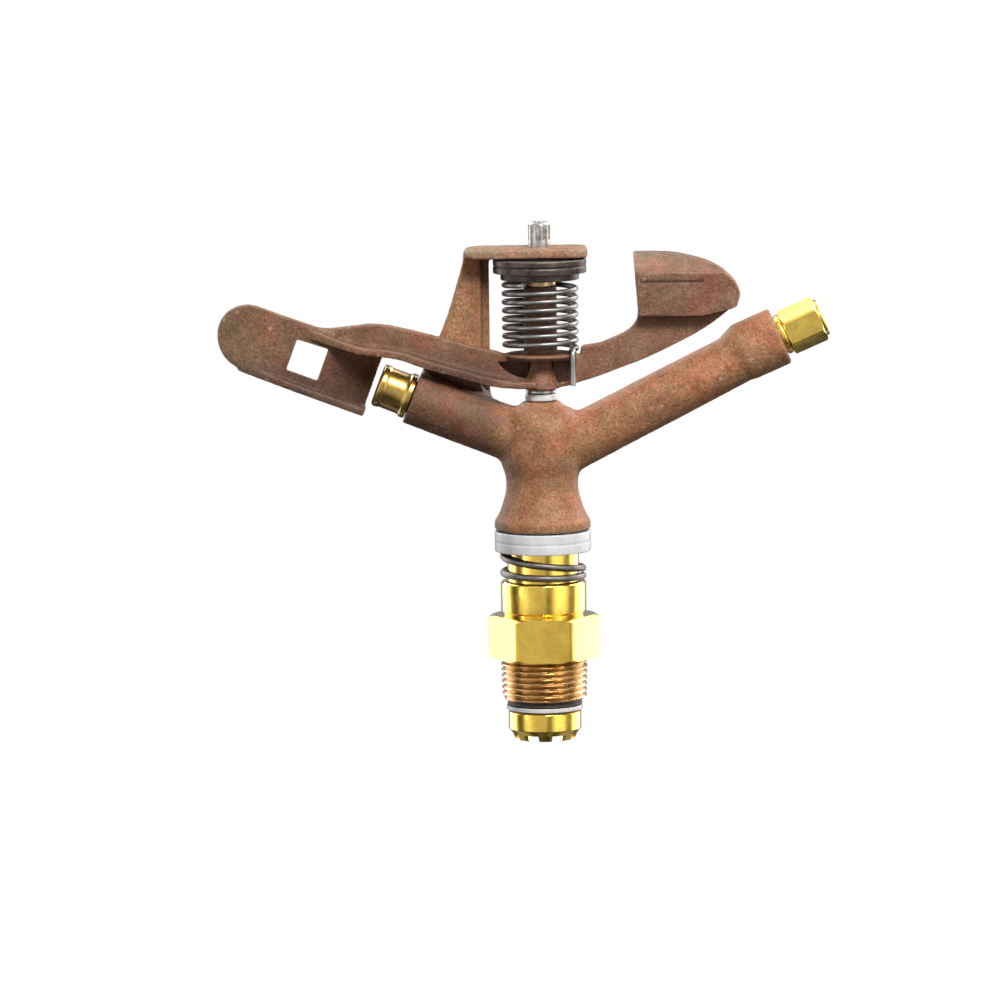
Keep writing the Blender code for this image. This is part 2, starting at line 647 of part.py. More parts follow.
def drive_arm(bronze):
    """Swinging arm: hub, web with a lip, wedge, window and spoon, and the counterweight."""
    arm = mesh_object("drive_arm", rod(HUB_RADIUS, HUB_BOTTOM, HUB_TOP, 32), bronze)
    seat = turned([(0, 91.9 * MM), (SEAT_RADIUS - 2.2 * MM, 91.9 * MM),
                   (SEAT_RADIUS, SEAT_TOP - 0.9 * MM), (SEAT_RADIUS, SEAT_TOP),
                   (0, SEAT_TOP)], 32)
    left_web = in_mm([
        (0, 84.4), (-6.4, 84.6), (-12.6, 85.6), (-18.7, 87.0), (-24.8, 88.8), (-30.9, 90.5),
        (-37.0, 92.3), (-43.1, 94.3), (-49.0, 95.4), (-55.4, 96.0), (-60.0, 97.2),
        (-66.6, 99.6), (-72.0, 99.8), (-72.0, 103.6), (-66.0, 102.3), (-61.0, 102.6),
        (-55.2, 103.2), (-52.2, 103.5), (-47.5, 103.2), (-43.0, 102.3), (-36.9, 100.8),
        (-30.7, 99.1), (-24.6, 97.4), (-18.5, 95.7), (-12.3, 94.4), (-11.0, 93.0), (0, 93.0)])
    lip = in_mm([
        (-1.5, 83.6), (-6.4, 83.5), (-12.6, 84.0), (-18.7, 85.4), (-24.8, 87.2),
        (-30.9, 88.9), (-37.0, 90.7), (-43.1, 92.9), (-49.2, 93.9), (-55.4, 94.3),
        (-60.0, 95.6), (-66.6, 98.3), (-66.0, 100.6), (-60.0, 98.0), (-55.4, 96.8),
        (-49.2, 96.2), (-43.1, 95.3), (-37.0, 93.3), (-30.9, 91.4), (-24.8, 89.7),
        (-18.7, 87.9), (-12.6, 86.5), (-6.4, 85.8), (-1.5, 85.7)])
    right_web = in_mm([
        (0, 83.2), (7.4, 83.6), (12.0, 85.0), (18.2, 86.9), (24.3, 89.2), (30.5, 91.4),
        (36.6, 94.1), (42.8, 97.1), (49.0, 100.4), (53.6, 103.4), (58.6, 107.4), (50.0, 110.0),
        (30.2, 110.0), (29.6, 104.0), (27.5, 101.3), (24.5, 99.5), (21.4, 98.2), (18.3, 97.0),
        (12.2, 96.0), (12.2, 93.0), (0, 93.0)])
    weight = in_mm([
        (30.0, 105.2), (49.0, 105.2), (58.8, 107.4), (60.3, 109.4), (60.9, 112.4),
        (59.4, 115.6), (56.9, 118.1), (53.8, 120.3), (49.3, 122.2), (43.2, 123.7),
        (38.6, 124.3), (28.6, 124.5)])
    bevel = in_mm([(WEIGHT_FRONT / MM - 1, 118.2), (WEIGHT_FRONT / MM, 118.2),
                   (-3.6, 125.5), (WEIGHT_FRONT / MM - 1, 125.5)])
    wedge = in_mm([(1.1, 5.4), (2.6, 5.8), (18.6, -1.9), (18.6, -4.2), (17.2, -4.2)])
    floor = in_mm([(1.1, -6.4), (38.0, -6.4), (38.0, -1.8), (18.6, -1.8), (2.6, 5.8),
                   (1.1, 5.4)])
    boolean(arm, [
        seat,
        extruded(left_web, WEB_FRONT, WEB_BACK, front),
        extruded(lip, LIP_FRONT, WEB_FRONT + 0.5 * MM, front),
        extruded(right_web, WEB_FRONT, WEB_BACK, front),
        extruded(weight, WEIGHT_FRONT, WEIGHT_BACK, front),
        spoon(),
        extruded(wedge, -8.4 * MM, 9.2 * MM, jet_plan),
        extruded(floor, -10.3 * MM, -8.0 * MM, jet_plan),
    ], "UNION")
    window = in_mm([(17.9, -5.0), (27.9, -5.0), (27.9, 5.0), (17.9, 5.4)])
    boolean(arm, [
        extruded(window, -20 * MM, 20 * MM, jet_point),
        extruded(bevel, 20 * MM, 70 * MM, side),
        rod(HUB_BORE, 80 * MM, 116 * MM, 32),
    ], "DIFFERENCE")


def build():
    clear_scene()
    brass = material("brass", (0.80, 0.62, 0.20), 0.28, 1.0)
    bronze = material("bronze", (0.42, 0.22, 0.13), 0.5, 1.0)
    spring_steel = material("spring_steel", (0.36, 0.35, 0.33), 0.35, 1.0)
    steel = material("steel", (0.55, 0.55, 0.53), 0.3, 1.0)
    nylon = material("white_nylon", (0.80, 0.81, 0.82), 0.45, 0.0)
    rubber = material("rubber", (0.05, 0.045, 0.04), 0.7, 0.0)
    bearing_tube(brass)
    bearing_nipple(brass)
    lower_washers(rubber, nylon)
    sand_guard(nylon)
    guard_washers(nylon, steel)
    seal_spring(spring_steel)
    body_casting(bronze)
    range_nozzle(brass)
    spreader_nozzle(brass)
    straightening_vane(brass)
    fulcrum_pin(steel)
    spring_cap(steel)
    arm_spring(spring_steel)
    arm_bushings(bronze)
    arm_washers(nylon, steel)
    drive_arm(bronze)


build()
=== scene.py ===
"""Looks of a brass and bronze impact sprinkler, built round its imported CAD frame."""

from math import ceil, cos, pi, radians, sin

import bmesh
import bpy
import numpy as np
from mathutils import Matrix, Vector, noise


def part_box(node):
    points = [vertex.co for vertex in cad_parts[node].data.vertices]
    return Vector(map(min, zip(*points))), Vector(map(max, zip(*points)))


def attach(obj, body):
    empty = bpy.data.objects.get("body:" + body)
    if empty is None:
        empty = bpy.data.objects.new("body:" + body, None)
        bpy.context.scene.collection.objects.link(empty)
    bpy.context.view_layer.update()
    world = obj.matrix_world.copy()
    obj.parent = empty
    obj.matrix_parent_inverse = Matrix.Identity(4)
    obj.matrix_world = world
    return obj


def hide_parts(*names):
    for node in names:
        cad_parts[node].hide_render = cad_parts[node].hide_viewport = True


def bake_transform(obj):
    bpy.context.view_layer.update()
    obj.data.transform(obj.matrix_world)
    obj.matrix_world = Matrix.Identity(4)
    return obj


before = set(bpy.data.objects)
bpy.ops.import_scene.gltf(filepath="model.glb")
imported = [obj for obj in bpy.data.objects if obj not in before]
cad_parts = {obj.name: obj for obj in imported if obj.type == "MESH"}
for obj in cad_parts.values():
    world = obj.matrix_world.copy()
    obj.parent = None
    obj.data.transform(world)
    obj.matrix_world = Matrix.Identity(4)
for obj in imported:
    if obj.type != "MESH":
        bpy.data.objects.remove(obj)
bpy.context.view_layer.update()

MM = 0.001
GAP = 0.3 * MM
ROUND = 112

# The frame: the origin is on the turning axis, at the hexagon's lower shoulder.
TUBE_LOW, TUBE_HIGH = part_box("bearing_tube")
NIPPLE_LOW, NIPPLE_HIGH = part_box("bearing_nipple")
GUARD_LOW, GUARD_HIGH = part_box("sand_guard")
CASTING_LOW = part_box("body_casting")[0]
CAP_LOW, CAP_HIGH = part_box("spring_cap")
PIN_LOW, PIN_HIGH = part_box("fulcrum_pin")
WASHER_LOW, WASHER_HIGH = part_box("arm_friction_washer")

# Bearing, in metres.
TUBE_RADIUS = 9.0 * MM
TUBE_BORE = 7.2 * MM
TUBE_SHOULDER = -16.3 * MM
SLOT_DEPTH = 1.8 * MM
SPANNER_SLOTS = 8
THREAD_TOP = -0.9 * MM
THREAD_RADIUS = 13.33 * MM
THREAD_TAPER = 1.0 / 32.0
THREAD_PITCH = 25.4 / 14.0 * MM
THREAD_DEPTH = 0.95 * MM
HEX_FLATS = 30.0 * MM
HEX_TOP = 13.3 * MM
HEX_CHAMFER = 1.6 * MM
CHAMFER_SLOPE = 0.6
NIPPLE_RADIUS = 13.1 * MM
NIPPLE_SHOULDER = 23.8 * MM
COLLAR_RADIUS = 11.0 * MM
GUARD_WEB = 37.0 * MM
SEAL_WIRE = 1.05 * MM
SEAL_COIL = 12.2 * MM
SEAL_CLOSED_PITCH = 2.25 * MM
SEAL_OPEN_PITCH = 8.2 * MM
SEAL_OPEN_TURNS = 0.73

# Head casting.
RECESS_RADIUS = 13.6 * MM
RECESS_TOP = 41.8 * MM
BOSS_RADIUS = 6.15 * MM
BOSS_TOP = 79.0 * MM
RANGE_ANGLE = radians(26.8)
RANGE_ROOT = 61.0 * MM
RANGE_MOUTH = (73.35 * MM, 98.2 * MM)
RANGE_MOUTH_ANGLE = radians(23.5)
SPREADER_ANGLE = radians(21.5)
SPREADER_ROOT = 65.22 * MM
SPREADER_MOUTH = (-39.55 * MM, 80.8 * MM)
RANGE_LENGTH = RANGE_MOUTH[0] / cos(RANGE_ANGLE)
SPREADER_LENGTH = -SPREADER_MOUTH[0] / cos(SPREADER_ANGLE)
LEG_FRONT = 1.3 * MM
LEG_BACK = 7.5 * MM
BAR_BOTTOM = 123.1 * MM
BAR_TOP = 126.4 * MM
BAR_ENDS = (-23.4 * MM, 14.6 * MM)
BAR_HALF_DEPTH = 8.0 * MM

# Swinging arm and what it turns on.
PIN_RADIUS = 2.4 * MM
PIN_HEAD_RADIUS = 3.35 * MM
PIN_SHOULDER = 116.7 * MM
CAP_STEP_RADIUS = 12.0 * MM
CAP_RIM = 118.5 * MM
HUB_RADIUS = 5.1 * MM
HUB_BORE = 3.8 * MM
HUB_BOTTOM = 82.8 * MM
HUB_TOP = 114.4 * MM
SEAT_RADIUS = 11.4 * MM
SEAT_TOP = 93.9 * MM
SPRING_WIRE = 0.85 * MM
SPRING_COIL = 10.9 * MM
SPRING_TURNS = 7.75
SPRING_END = radians(-30)
NOZZLE_LENGTH = 11.1 * MM
JET_ANGLE = radians(20.5)
WEB_FRONT = -3.0 * MM
WEB_BACK = 1.0 * MM
LIP_FRONT = -8.4 * MM
VANE_FRONT = -4.2 * MM
VANE_THICKNESS = 2.4 * MM
WEIGHT_FRONT = -8.0 * MM
WEIGHT_BACK = 4.0 * MM

VOXEL = 0.42 * MM
CAST_GRAIN = 1.3 * MM
CAST_ROUGHNESS = 0.07 * MM

# Studio: brightness of the strips by azimuth in degrees, 0 towards the front, 90 right.
STUDIO_BRIGHTNESS = 3.3
FILL_BRIGHTNESS = 0.085
GROUND_LEVEL = 0.12
GROUND_FADE = (-0.50, -0.25)
STUDIO_STRIPS = ((-180, 0.10), (-150, 0.12), (-138, 1.0), (-110, 1.0), (-100, 0.22),
                 (-90, 0.04), (-76, 0.06), (-66, 0.34), (-52, 0.46), (-38, 0.26), (-16, 0.22),
                 (4, 0.22), (9, 0.10), (17, 0.09), (25, 0.26), (36, 0.55), (60, 0.50),
                 (76, 0.12), (90, 0.12), (106, 1.0), (138, 1.0), (150, 0.12), (180, 0.10))


# -------------------------------- shapes

def in_mm(points):
    return [(a * MM, b * MM) for a, b in points]


def spline(points, steps=5):
    """Open smooth curve through 2-D points, with steps stretches between neighbours."""
    ends = [points[0]] + list(points) + [points[-1]]
    curve = []
    for before, start, end, after in zip(ends, ends[1:], ends[2:], ends[3:]):
        p = [Vector(q) for q in (before, start, end, after)]
        for i in range(steps):
            t = i / steps
            curve.append(0.5 * (2 * p[1] + (p[2] - p[0]) * t
                                + (2 * p[0] - 5 * p[1] + 4 * p[2] - p[3]) * t ** 2
                                + (3 * p[1] - p[0] - 3 * p[2] + p[3]) * t ** 3))
    curve.append(Vector(points[-1]))
    return [tuple(q) for q in curve]


def rounded(points, radius, steps=4):
    """The closed outline with each corner replaced by an arc-like curve."""
    result = []
    for i, corner in enumerate(points):
        corner = Vector(corner)
        before = Vector(points[i - 1]) - corner
        after = Vector(points[(i + 1) % len(points)]) - corner
        on_axis = corner.x == 0
        reach = 0 if on_axis else min(radius, before.length * 0.45, after.length * 0.45)
        if reach == 0:
            result.append(tuple(corner))
            continue
        start = corner + before.normalized() * reach
        end = corner + after.normalized() * reach
        for k in range(steps + 1):
            t = k / steps
            result.append(tuple(start * (1 - t) ** 2 + corner * 2 * t * (1 - t) + end * t ** 2))
    return result


def circle(radius, count, turn=0.0):
    angles = [turn + 2 * pi * i / count for i in range(count)]
    return [(radius * cos(angle), radius * sin(angle)) for angle in angles]


def join_rings(bm, lower, upper):
    """Faces between two rings, either of which may be one point on the axis."""
    count = max(len(lower), len(upper))
    if count == 1:
        return
    for i in range(count):
        j = (i + 1) % count
        if len(lower) == 1:
            bm.faces.new((lower[0], upper[j], upper[i]))
        elif len(upper) == 1:
            bm.faces.new((lower[i], lower[j], upper[0]))
        else:
            bm.faces.new((lower[i], lower[j], upper[j], upper[i]))


def turned(profile, segments=ROUND):
    """Solid of revolution about Z from a closed (radius, height) outline."""
    bm = bmesh.new()
    rings = []
    for radius, height in profile:
        if radius == 0:
            rings.append([bm.verts.new((0, 0, height))])
        else:
            rings.append([bm.verts.new((x, y, height)) for x, y in circle(radius, segments)])
    for lower, upper in zip(rings, rings[1:] + rings[:1]):
        join_rings(bm, lower, upper)
    return bm


def ring(inner, outer, bottom, top, edge):
    """Washer with rounded edges."""
    return turned(rounded([(inner, bottom), (outer, bottom), (outer, top), (inner, top)], edge))


def rod(radius, bottom, top, top_radius=None, segments=64):
    upper = radius if top_radius is None else top_radius
    return turned([(0, bottom), (radius, bottom), (upper, top), (0, top)], segments)


def prism(outline, near, far, place):
    """Prism over a closed outline of (a, b) points, placed by place(a, b, depth)."""
    bm = bmesh.new()
    rings = [[bm.verts.new(place(a, b, depth)) for a, b in outline] for depth in (near, far)]
    join_rings(bm, *rings)
    for cap in rings:
        bm.faces.new(cap)
    return bm


def facing_front(x, z, y):
    return (x, y, z)


def seen_from_above(x, y, z):
    return (x, y, z)


def seen_from_side(y, z, x):
    return (x, y, z)


def aimed(origin, angle):
    """Matrix that turns +Z to a rise of angle above +X in the XZ plane, at origin."""
    direction = Vector((cos(angle), 0, sin(angle)))
    side = Vector((0, 1, 0))
    axes = Matrix((side.cross(direction), side, direction)).transposed().to_4x4()
    return Matrix.Translation(Vector((origin[0], 0, origin[1]))) @ axes


def moved(bm, matrix):
    bmesh.ops.transform(bm, matrix=matrix, verts=bm.verts)
    return bm


def wire(points, radius, sides=14):
    """Round wire along a list of points, its ends cut square."""
    bm = bmesh.new()
    rings = []
    normal = Vector((0, 0, 1))
    for i, point in enumerate(points):
        ahead = points[min(i + 1, len(points) - 1)]
        behind = points[max(i - 1, 0)]
        tangent = (ahead - behind).normalized()
        across = tangent.cross(normal).normalized()
        normal = across.cross(tangent).normalized()
        rings.append([bm.verts.new(point + across * x + normal * y)
                      for x, y in circle(radius, sides)])
    for lower, upper in zip(rings, rings[1:]):
        join_rings(bm, lower, upper)
    for cap in (rings[0], rings[-1]):
        bm.faces.new(cap)
    return bm


def new_object(name, bm, sharp=35):
    bmesh.ops.recalc_face_normals(bm, faces=bm.faces)
    mesh = bpy.data.meshes.new(name)
    bm.to_mesh(mesh)
    bm.free()
    made = bpy.data.objects.new(name, mesh)
    bpy.context.scene.collection.objects.link(made)
    shade(made, sharp)
    return made


def shade(obj, sharp=35):
    obj.data.shade_smooth()
    obj.data.set_sharp_from_angle(angle=radians(sharp))


def apply_modifier(obj, kind, **settings):
    modifier = obj.modifiers.new(kind, kind)
    for key, value in settings.items():
        setattr(modifier, key, value)
    graph = bpy.context.evaluated_depsgraph_get()
    result = bpy.data.meshes.new_from_object(obj.evaluated_get(graph))
    obj.modifiers.clear()
    old = obj.data
    obj.data = result
    bpy.data.meshes.remove(old)


def combine(obj, shapes, operation="UNION"):
    """Boolean of a closed mesh with closed shapes, one after another."""
    for bm in shapes:
        tool = new_object("tool", bm)
        apply_modifier(obj, "BOOLEAN", operation=operation, solver="MANIFOLD", object=tool)
        bpy.data.objects.remove(tool, do_unlink=True)
    shade(obj)
    return obj


def cut(obj, *shapes):
    return combine(obj, shapes, "DIFFERENCE")


def taken(made):
    """An object's mesh as loose geometry, the object itself removed."""
    bm = bmesh.new()
    bm.from_mesh(made.data)
    bpy.data.objects.remove(made, do_unlink=True)
    return bm


def vertex_places(mesh):
    flat = np.empty(len(mesh.vertices) * 3)
    mesh.vertices.foreach_get("co", flat)
    return flat.reshape(-1, 3)


def relax(mesh, rounds, strength=0.5):
    """Rounds edges and fills corners; strength is a number or one for each vertex."""
    places = vertex_places(mesh)
    count = len(places)
    pairs = np.empty(len(mesh.edges) * 2, int)
    mesh.edges.foreach_get("vertices", pairs)
    a, b = pairs.reshape(-1, 2).T
    degree = np.bincount(pairs, minlength=count)[:, None]
    pull = np.broadcast_to(np.asarray(strength, float).reshape(-1, 1), (count, 1))
    for _ in range(rounds):
        sums = np.stack([np.bincount(a, places[b, k], count) + np.bincount(b, places[a, k], count)
                         for k in range(3)], axis=1)
        places = places + (sums / degree - places) * pull
    mesh.vertices.foreach_set("co", places.ravel())
    mesh.update()


def roughen(mesh, depth, size):
    """Moves the surface in and out a little, as sand casting leaves it."""
    places = vertex_places(mesh)
    normals = np.empty(places.size)
    mesh.vertices.foreach_get("normal", normals)
    spots = [Vector(spot) for spot in places / size]
    heights = np.array([noise.noise(spot) + 0.5 * noise.noise(spot * 2.3) for spot in spots])
    places += normals.reshape(-1, 3) * (depth * heights)[:, None]
    mesh.vertices.foreach_set("co", places.ravel())
    mesh.update()


def cast(name, solids, rounds=5, fillets=None, fillet_rounds=40):
    """One cast skin over overlapping closed solids, with soft edges and inner corners.

    fillets takes the vertex places and gives how strongly each is filled, from 0 to 1.
    """
    bm = bmesh.new()
    for solid in solids:
        bmesh.ops.recalc_face_normals(solid, faces=solid.faces)
        mesh = bpy.data.meshes.new("solid")
        solid.to_mesh(mesh)
        solid.free()
        bm.from_mesh(mesh)
        bpy.data.meshes.remove(mesh)
    made = new_object(name, bm)
    apply_modifier(made, "REMESH", mode="VOXEL", voxel_size=VOXEL)
    if fillets is not None:
        relax(made.data, fillet_rounds, 0.5 * fillets(vertex_places(made.data)))
    relax(made.data, rounds)
    roughen(made.data, CAST_ROUGHNESS, CAST_GRAIN)
    return made


def near(places, point, radius, fade):
    """1 within radius of a point, falling to 0 over the fade distance."""
    distance = np.linalg.norm(places - np.array(point), axis=1)
    return np.clip((radius + fade - distance) / fade, 0, 1)


def near_line(places, start, end, radius, fade):
    """1 within radius of a straight line between two points, falling to 0."""
    a, b = np.array(start), np.array(end)
    t = np.clip((places - a) @ (b - a) / ((b - a) @ (b - a)), 0, 1)
    distance = np.linalg.norm(places - (a + t[:, None] * (b - a)), axis=1)
    return np.clip((radius + fade - distance) / fade, 0, 1)


def piece(obj, surface, body=None, replaces=()):
    """Gives a finished mesh its material, its body and the nodes it stands for."""
    obj.data.materials.clear()
    for item in surface if isinstance(surface, tuple) else (surface,):
        obj.data.materials.append(item)
    if body is not None:
        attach(obj, body)
    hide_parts(*replaces)
    return obj


# -------------------------------- materials

class Nodes:
    """Short way to add and join the nodes of one tree."""

    def __init__(self, tree):
        self.tree = tree

    def add(self, kind, inputs=None, **settings):
        node = self.tree.nodes.new(kind)
        for key, value in settings.items():
            setattr(node, key, value)
        for key, value in (inputs or {}).items():
            self.put(node.inputs[key], value)
        return node

    def put(self, socket, value):
        """Joins a socket to another, or sets its own value."""
        if isinstance(value, bpy.types.NodeSocket):
            self.tree.links.new(value, socket)
        else:
            socket.default_value = value

    def ramp(self, factor, *stops):
        """Colour ramp of (position, colour) stops."""
        node = self.add("ShaderNodeValToRGB", {"Fac": factor})
        elements = node.color_ramp.elements
        while len(elements) < len(stops):
            elements.new(0.5)
        for element, (position, colour) in zip(elements, stops):
            element.position = position
            element.color = (*colour, 1)
        return node.outputs["Color"]

    def span(self, value, low, high, start=0.0, end=1.0):
        """The value's place between low and high, as a number from start to end."""
        inputs = {"Value": value, "From Min": low, "From Max": high,
                  "To Min": start, "To Max": end}
        return self.add("ShaderNodeMapRange", inputs).outputs["Result"]

    def mix(self, factor, a, b, blend="MIX"):
        node = self.add("ShaderNodeMix", {0: factor}, data_type="RGBA", blend_type=blend)
        for index, colour in ((6, a), (7, b)):
            self.put(node.inputs[index], (*colour, 1) if isinstance(colour, tuple) else colour)
        return node.outputs[2]

    def maths(self, operation, a, b):
        return self.add("ShaderNodeMath", {0: a, 1: b}, operation=operation).outputs[0]


class Material(Nodes):
    """Nodes of one new material, which end in its Principled shader."""

    def __init__(self, name):
        self.material = bpy.data.materials.new(name)
        self.material.use_nodes = True
        super().__init__(self.material.node_tree)
        self.shader = self.tree.nodes["Principled BSDF"]
        self.place = self.add("ShaderNodeTexCoord").outputs["Object"]

    def noise(self, size, detail=3.0, stretch=(1, 1, 1), roughness=0.55):
        """Noise whose features are about size metres across."""
        place = self.place
        if stretch != (1, 1, 1):
            place = self.add("ShaderNodeMapping", {"Vector": place, "Scale": stretch}).outputs[0]
        inputs = {"Vector": place, "Scale": 1 / size, "Detail": detail, "Roughness": roughness}
        return self.add("ShaderNodeTexNoise", inputs).outputs["Fac"]

    def height(self, axis="Z"):
        return self.add("ShaderNodeSeparateXYZ", {0: self.place}).outputs[axis]

    def edges(self):
        return self.add("ShaderNodeNewGeometry").outputs["Pointiness"]

    def bump(self, height, depth, normal=None):
        inputs = {"Height": height, "Strength": 1.0, "Distance": depth}
        if normal is not None:
            inputs["Normal"] = normal
        return self.add("ShaderNodeBump", inputs).outputs["Normal"]

    def finish(self, colour, roughness, metallic, normal=None, **constants):
        """Joins the shader's sockets and sets its constants; gives the material."""
        inputs = {"Base Color": colour, "Roughness": roughness, "Metallic": metallic}
        if normal is not None:
            inputs["Normal"] = normal
        for key, value in constants.items():
            inputs[key.replace("_", " ")] = value
        for key, value in inputs.items():
            self.put(self.shader.inputs[key], value)
        return self.material


def cast_bronze(name, dark, middle, light):
    """Brown sand-cast bronze: grainy, mottled and rubbed on edges, with painted shade in corners,
    a painted shadow under the arm, a painted highlight at the spoon's end and painted light on the
    bar.
    """
    n = Material(name)
    mottle = n.ramp(n.noise(5 * MM, 4), (0.30, dark), (0.52, middle), (0.74, light))
    grain = n.noise(0.75 * MM, 2, roughness=0.65)
    grained = n.mix(0.75, mottle, n.ramp(grain, (0.30, (0.35, 0.33, 0.32)),
                                         (0.50, (0.92, 0.92, 0.92)),
                                         (0.70, (1.5, 1.42, 1.36))), "MULTIPLY")
    hue = n.ramp(n.noise(11 * MM, 3), (0.36, (1.10, 0.93, 0.86)), (0.50, (1.0, 1.0, 1.0)),
                 (0.64, (0.93, 1.05, 0.98)))
    tinted = n.mix(1.0, grained, hue, "MULTIPLY")
    patina = n.span(n.noise(3.2 * MM, 3), 0.58, 0.72)
    aged = n.mix(n.maths("MULTIPLY", patina, 0.5), tinted, (0.150, 0.130, 0.055))
    # Painted shade: darker, near black-brown, in concave corners and recesses.
    hollow_shade = n.span(n.edges(), 0.44, 0.495, 0.75, 0.0)
    shaded = n.mix(hollow_shade, aged, (0.060, 0.030, 0.020))
    rubbed = n.mix(n.span(n.edges(), 0.515, 0.58, 0.0, 0.7), shaded, (0.560, 0.335, 0.225))
    # Painted shadow of the arm: darker and bluer on the left, below the arm.
    left = n.span(n.height("X"), -8 * MM, -18 * MM)
    low = n.span(n.height("Z"), 96 * MM, 88 * MM)
    under_arm_shade = n.mix(n.maths("MULTIPLY", left, low), rubbed,
                  n.mix(1.0, rubbed, (0.52, 0.53, 0.60), "MULTIPLY"))
    # Painted highlight: lighter and more olive towards the spoon's end.
    spoon_end = n.span(n.height("X"), -76 * MM, -88 * MM, 0.0, 0.6)
    spoon_end_lit = n.mix(spoon_end, under_arm_shade, n.mix(1.0, under_arm_shade, (1.25, 1.45, 1.30), "MULTIPLY"))
    # Painted light: lighter and greyer above the bar's underside, standing for the bar's lit top
    # face.
    on_bar = n.span(n.height("Z"), BAR_BOTTOM - 1 * MM, BAR_BOTTOM + 1 * MM, 0.0, 0.75)
    wear_and_bar_light = n.mix(on_bar, spoon_end_lit, n.mix(1.0, spoon_end_lit, (0.92, 1.28, 1.62), "MULTIPLY"))
    pits = n.span(n.noise(0.42 * MM, 2), 0.35, 0.65)
    normal = n.bump(pits, 0.06 * MM, n.bump(grain, 0.10 * MM))
    rough = n.span(grain, 0.3, 0.7, 0.42, 0.62)
    return n.finish(wear_and_bar_light, rough, 0.0, normal, Specular_IOR_Level=0.3)


def turned_brass(name, light, dark, rough, line_stretch):
    """Machined brass with fine tool lines, faint tarnish and painted shade in its crevices."""
    n = Material(name)
    tarnish = n.span(n.noise(6 * MM, 4), 0.42, 0.70)
    base = n.mix(tarnish, light, dark)
    lines = n.noise(0.35 * MM, 2, line_stretch)
    lined = n.mix(0.35, base, n.ramp(lines, (0.3, (0.72, 0.68, 0.60)),
                                     (0.7, (1.0, 1.0, 1.0))), "MULTIPLY")
    # Painted shade: darker brown in concave crevices.
    crevice_shade = n.mix(n.span(n.edges(), 0.42, 0.49, 0.85, 0.0), lined, (0.16, 0.075, 0.025))
    specks = n.span(n.noise(0.9 * MM, 2), 0.66, 0.74, 0.0, 0.5)
    spotted = n.mix(specks, crevice_shade, (0.28, 0.16, 0.05))
    roughness = n.span(n.noise(2.5 * MM, 3), 0.3, 0.7, rough - 0.05, rough + 0.09)
    return n.finish(spotted, roughness, 1.0, n.bump(lines, 0.008 * MM),
                    Coat_Weight=1.0, Coat_Roughness=0.08)


def dull_steel(name, light, dark, rough):
    """Oiled steel with scratches and brown staining."""
    n = Material(name)
    stain = n.span(n.noise(2.2 * MM, 4), 0.40, 0.68)
    base = n.mix(stain, light, dark)
    scratches = n.noise(0.3 * MM, 2, (1, 1, 6))
    marked = n.mix(0.4, base, n.ramp(scratches, (0.35, (0.6, 0.58, 0.55)),
                                     (0.65, (1.1, 1.1, 1.1))), "MULTIPLY")
    wear_and_bar_light = n.mix(n.span(n.edges(), 0.52, 0.58, 0.0, 0.6), marked, (0.62, 0.60, 0.57))
    roughness = n.span(n.noise(1.2 * MM, 3), 0.3, 0.7, rough - 0.06, rough + 0.10)
    return n.finish(wear_and_bar_light, roughness, 0.9, n.bump(scratches, 0.012 * MM))


def white_nylon():
    """Moulded nylon: milky, with faint flow marks and a little grime in random patches."""
    n = Material("white_nylon")
    milky = n.ramp(n.noise(5 * MM, 3), (0.35, (0.66, 0.66, 0.68)), (0.65, (0.80, 0.80, 0.81)))
    grime = n.span(n.noise(1.6 * MM, 4), 0.60, 0.78, 0.0, 0.45)
    dirty = n.mix(grime, milky, (0.42, 0.36, 0.30))
    normal = n.bump(n.noise(0.5 * MM, 2, (1, 1, 3)), 0.02 * MM)
    return n.finish(dirty, 0.38, 0.0, normal, Coat_Weight=0.15, Coat_Roughness=0.2)


def black_rubber():
    n = Material("black_rubber")
    tone = n.ramp(n.noise(1.5 * MM, 4), (0.35, (0.018, 0.014, 0.012)),
                  (0.70, (0.060, 0.042, 0.030)))
    return n.finish(tone, 0.62, 0.0, n.bump(n.noise(0.4 * MM, 3), 0.03 * MM))


# -------------------------------- bearing

def thread_radius(angle, height, bottom):
    """Radius of the tapered right-hand thread at one place."""
    crest = THREAD_RADIUS - (THREAD_TOP - height) * THREAD_TAPER
    phase = ((height - bottom) / THREAD_PITCH - angle / (2 * pi)) % 1
    flank = 1 - abs(2 * phase - 1)
    ridge = max(0.0, min(1.0, 1.35 * flank - 0.06))
    start = min(1.0, max(0.15, (height - bottom) / (0.7 * MM)))
    end = min(1.0, max(0.0, (THREAD_TOP + 0.5 * MM - height) / (1.2 * MM)))
    return crest - THREAD_DEPTH + THREAD_DEPTH * ridge * start * end


def thread_solid():
    """Threaded shank, from the nipple's lower end to just inside the hexagon."""
    bottom, top = NIPPLE_LOW.z, 1.0 * MM
    rows, columns = 150, 144
    bm = bmesh.new()
    rings = [[bm.verts.new((0, 0, bottom))]]
    for row in range(rows + 1):
        height = bottom + (top - bottom) * row / rows
        rings.append([])
        for i in range(columns):
            angle = 2 * pi * i / columns
            reach = thread_radius(angle, height, bottom)
            rings[-1].append(bm.verts.new((reach * cos(angle), reach * sin(angle), height)))
    rings.append([bm.verts.new((0, 0, top))])
    for lower, upper in zip(rings, rings[1:]):
        join_rings(bm, lower, upper)
    return bm


def hexagon(flats, bottom, top, chamfer):
    """Hexagon prism, corners at +X and -X, with its ends turned to a cone."""
    corner = flats / 2 / cos(pi / 6)
    outside = corner + 0.1 * MM
    rise = (chamfer + 0.1 * MM) * CHAMFER_SLOPE
    outline = rounded(circle(corner, 6), 0.5 * MM, 3)
    made = new_object("hexagon", prism(outline, bottom, top, seen_from_above))
    cone = turned([(0, bottom), (corner - chamfer, bottom), (outside, bottom + rise),
                   (outside, top - rise), (corner - chamfer, top), (0, top)])
    return taken(combine(made, [cone], "INTERSECT"))


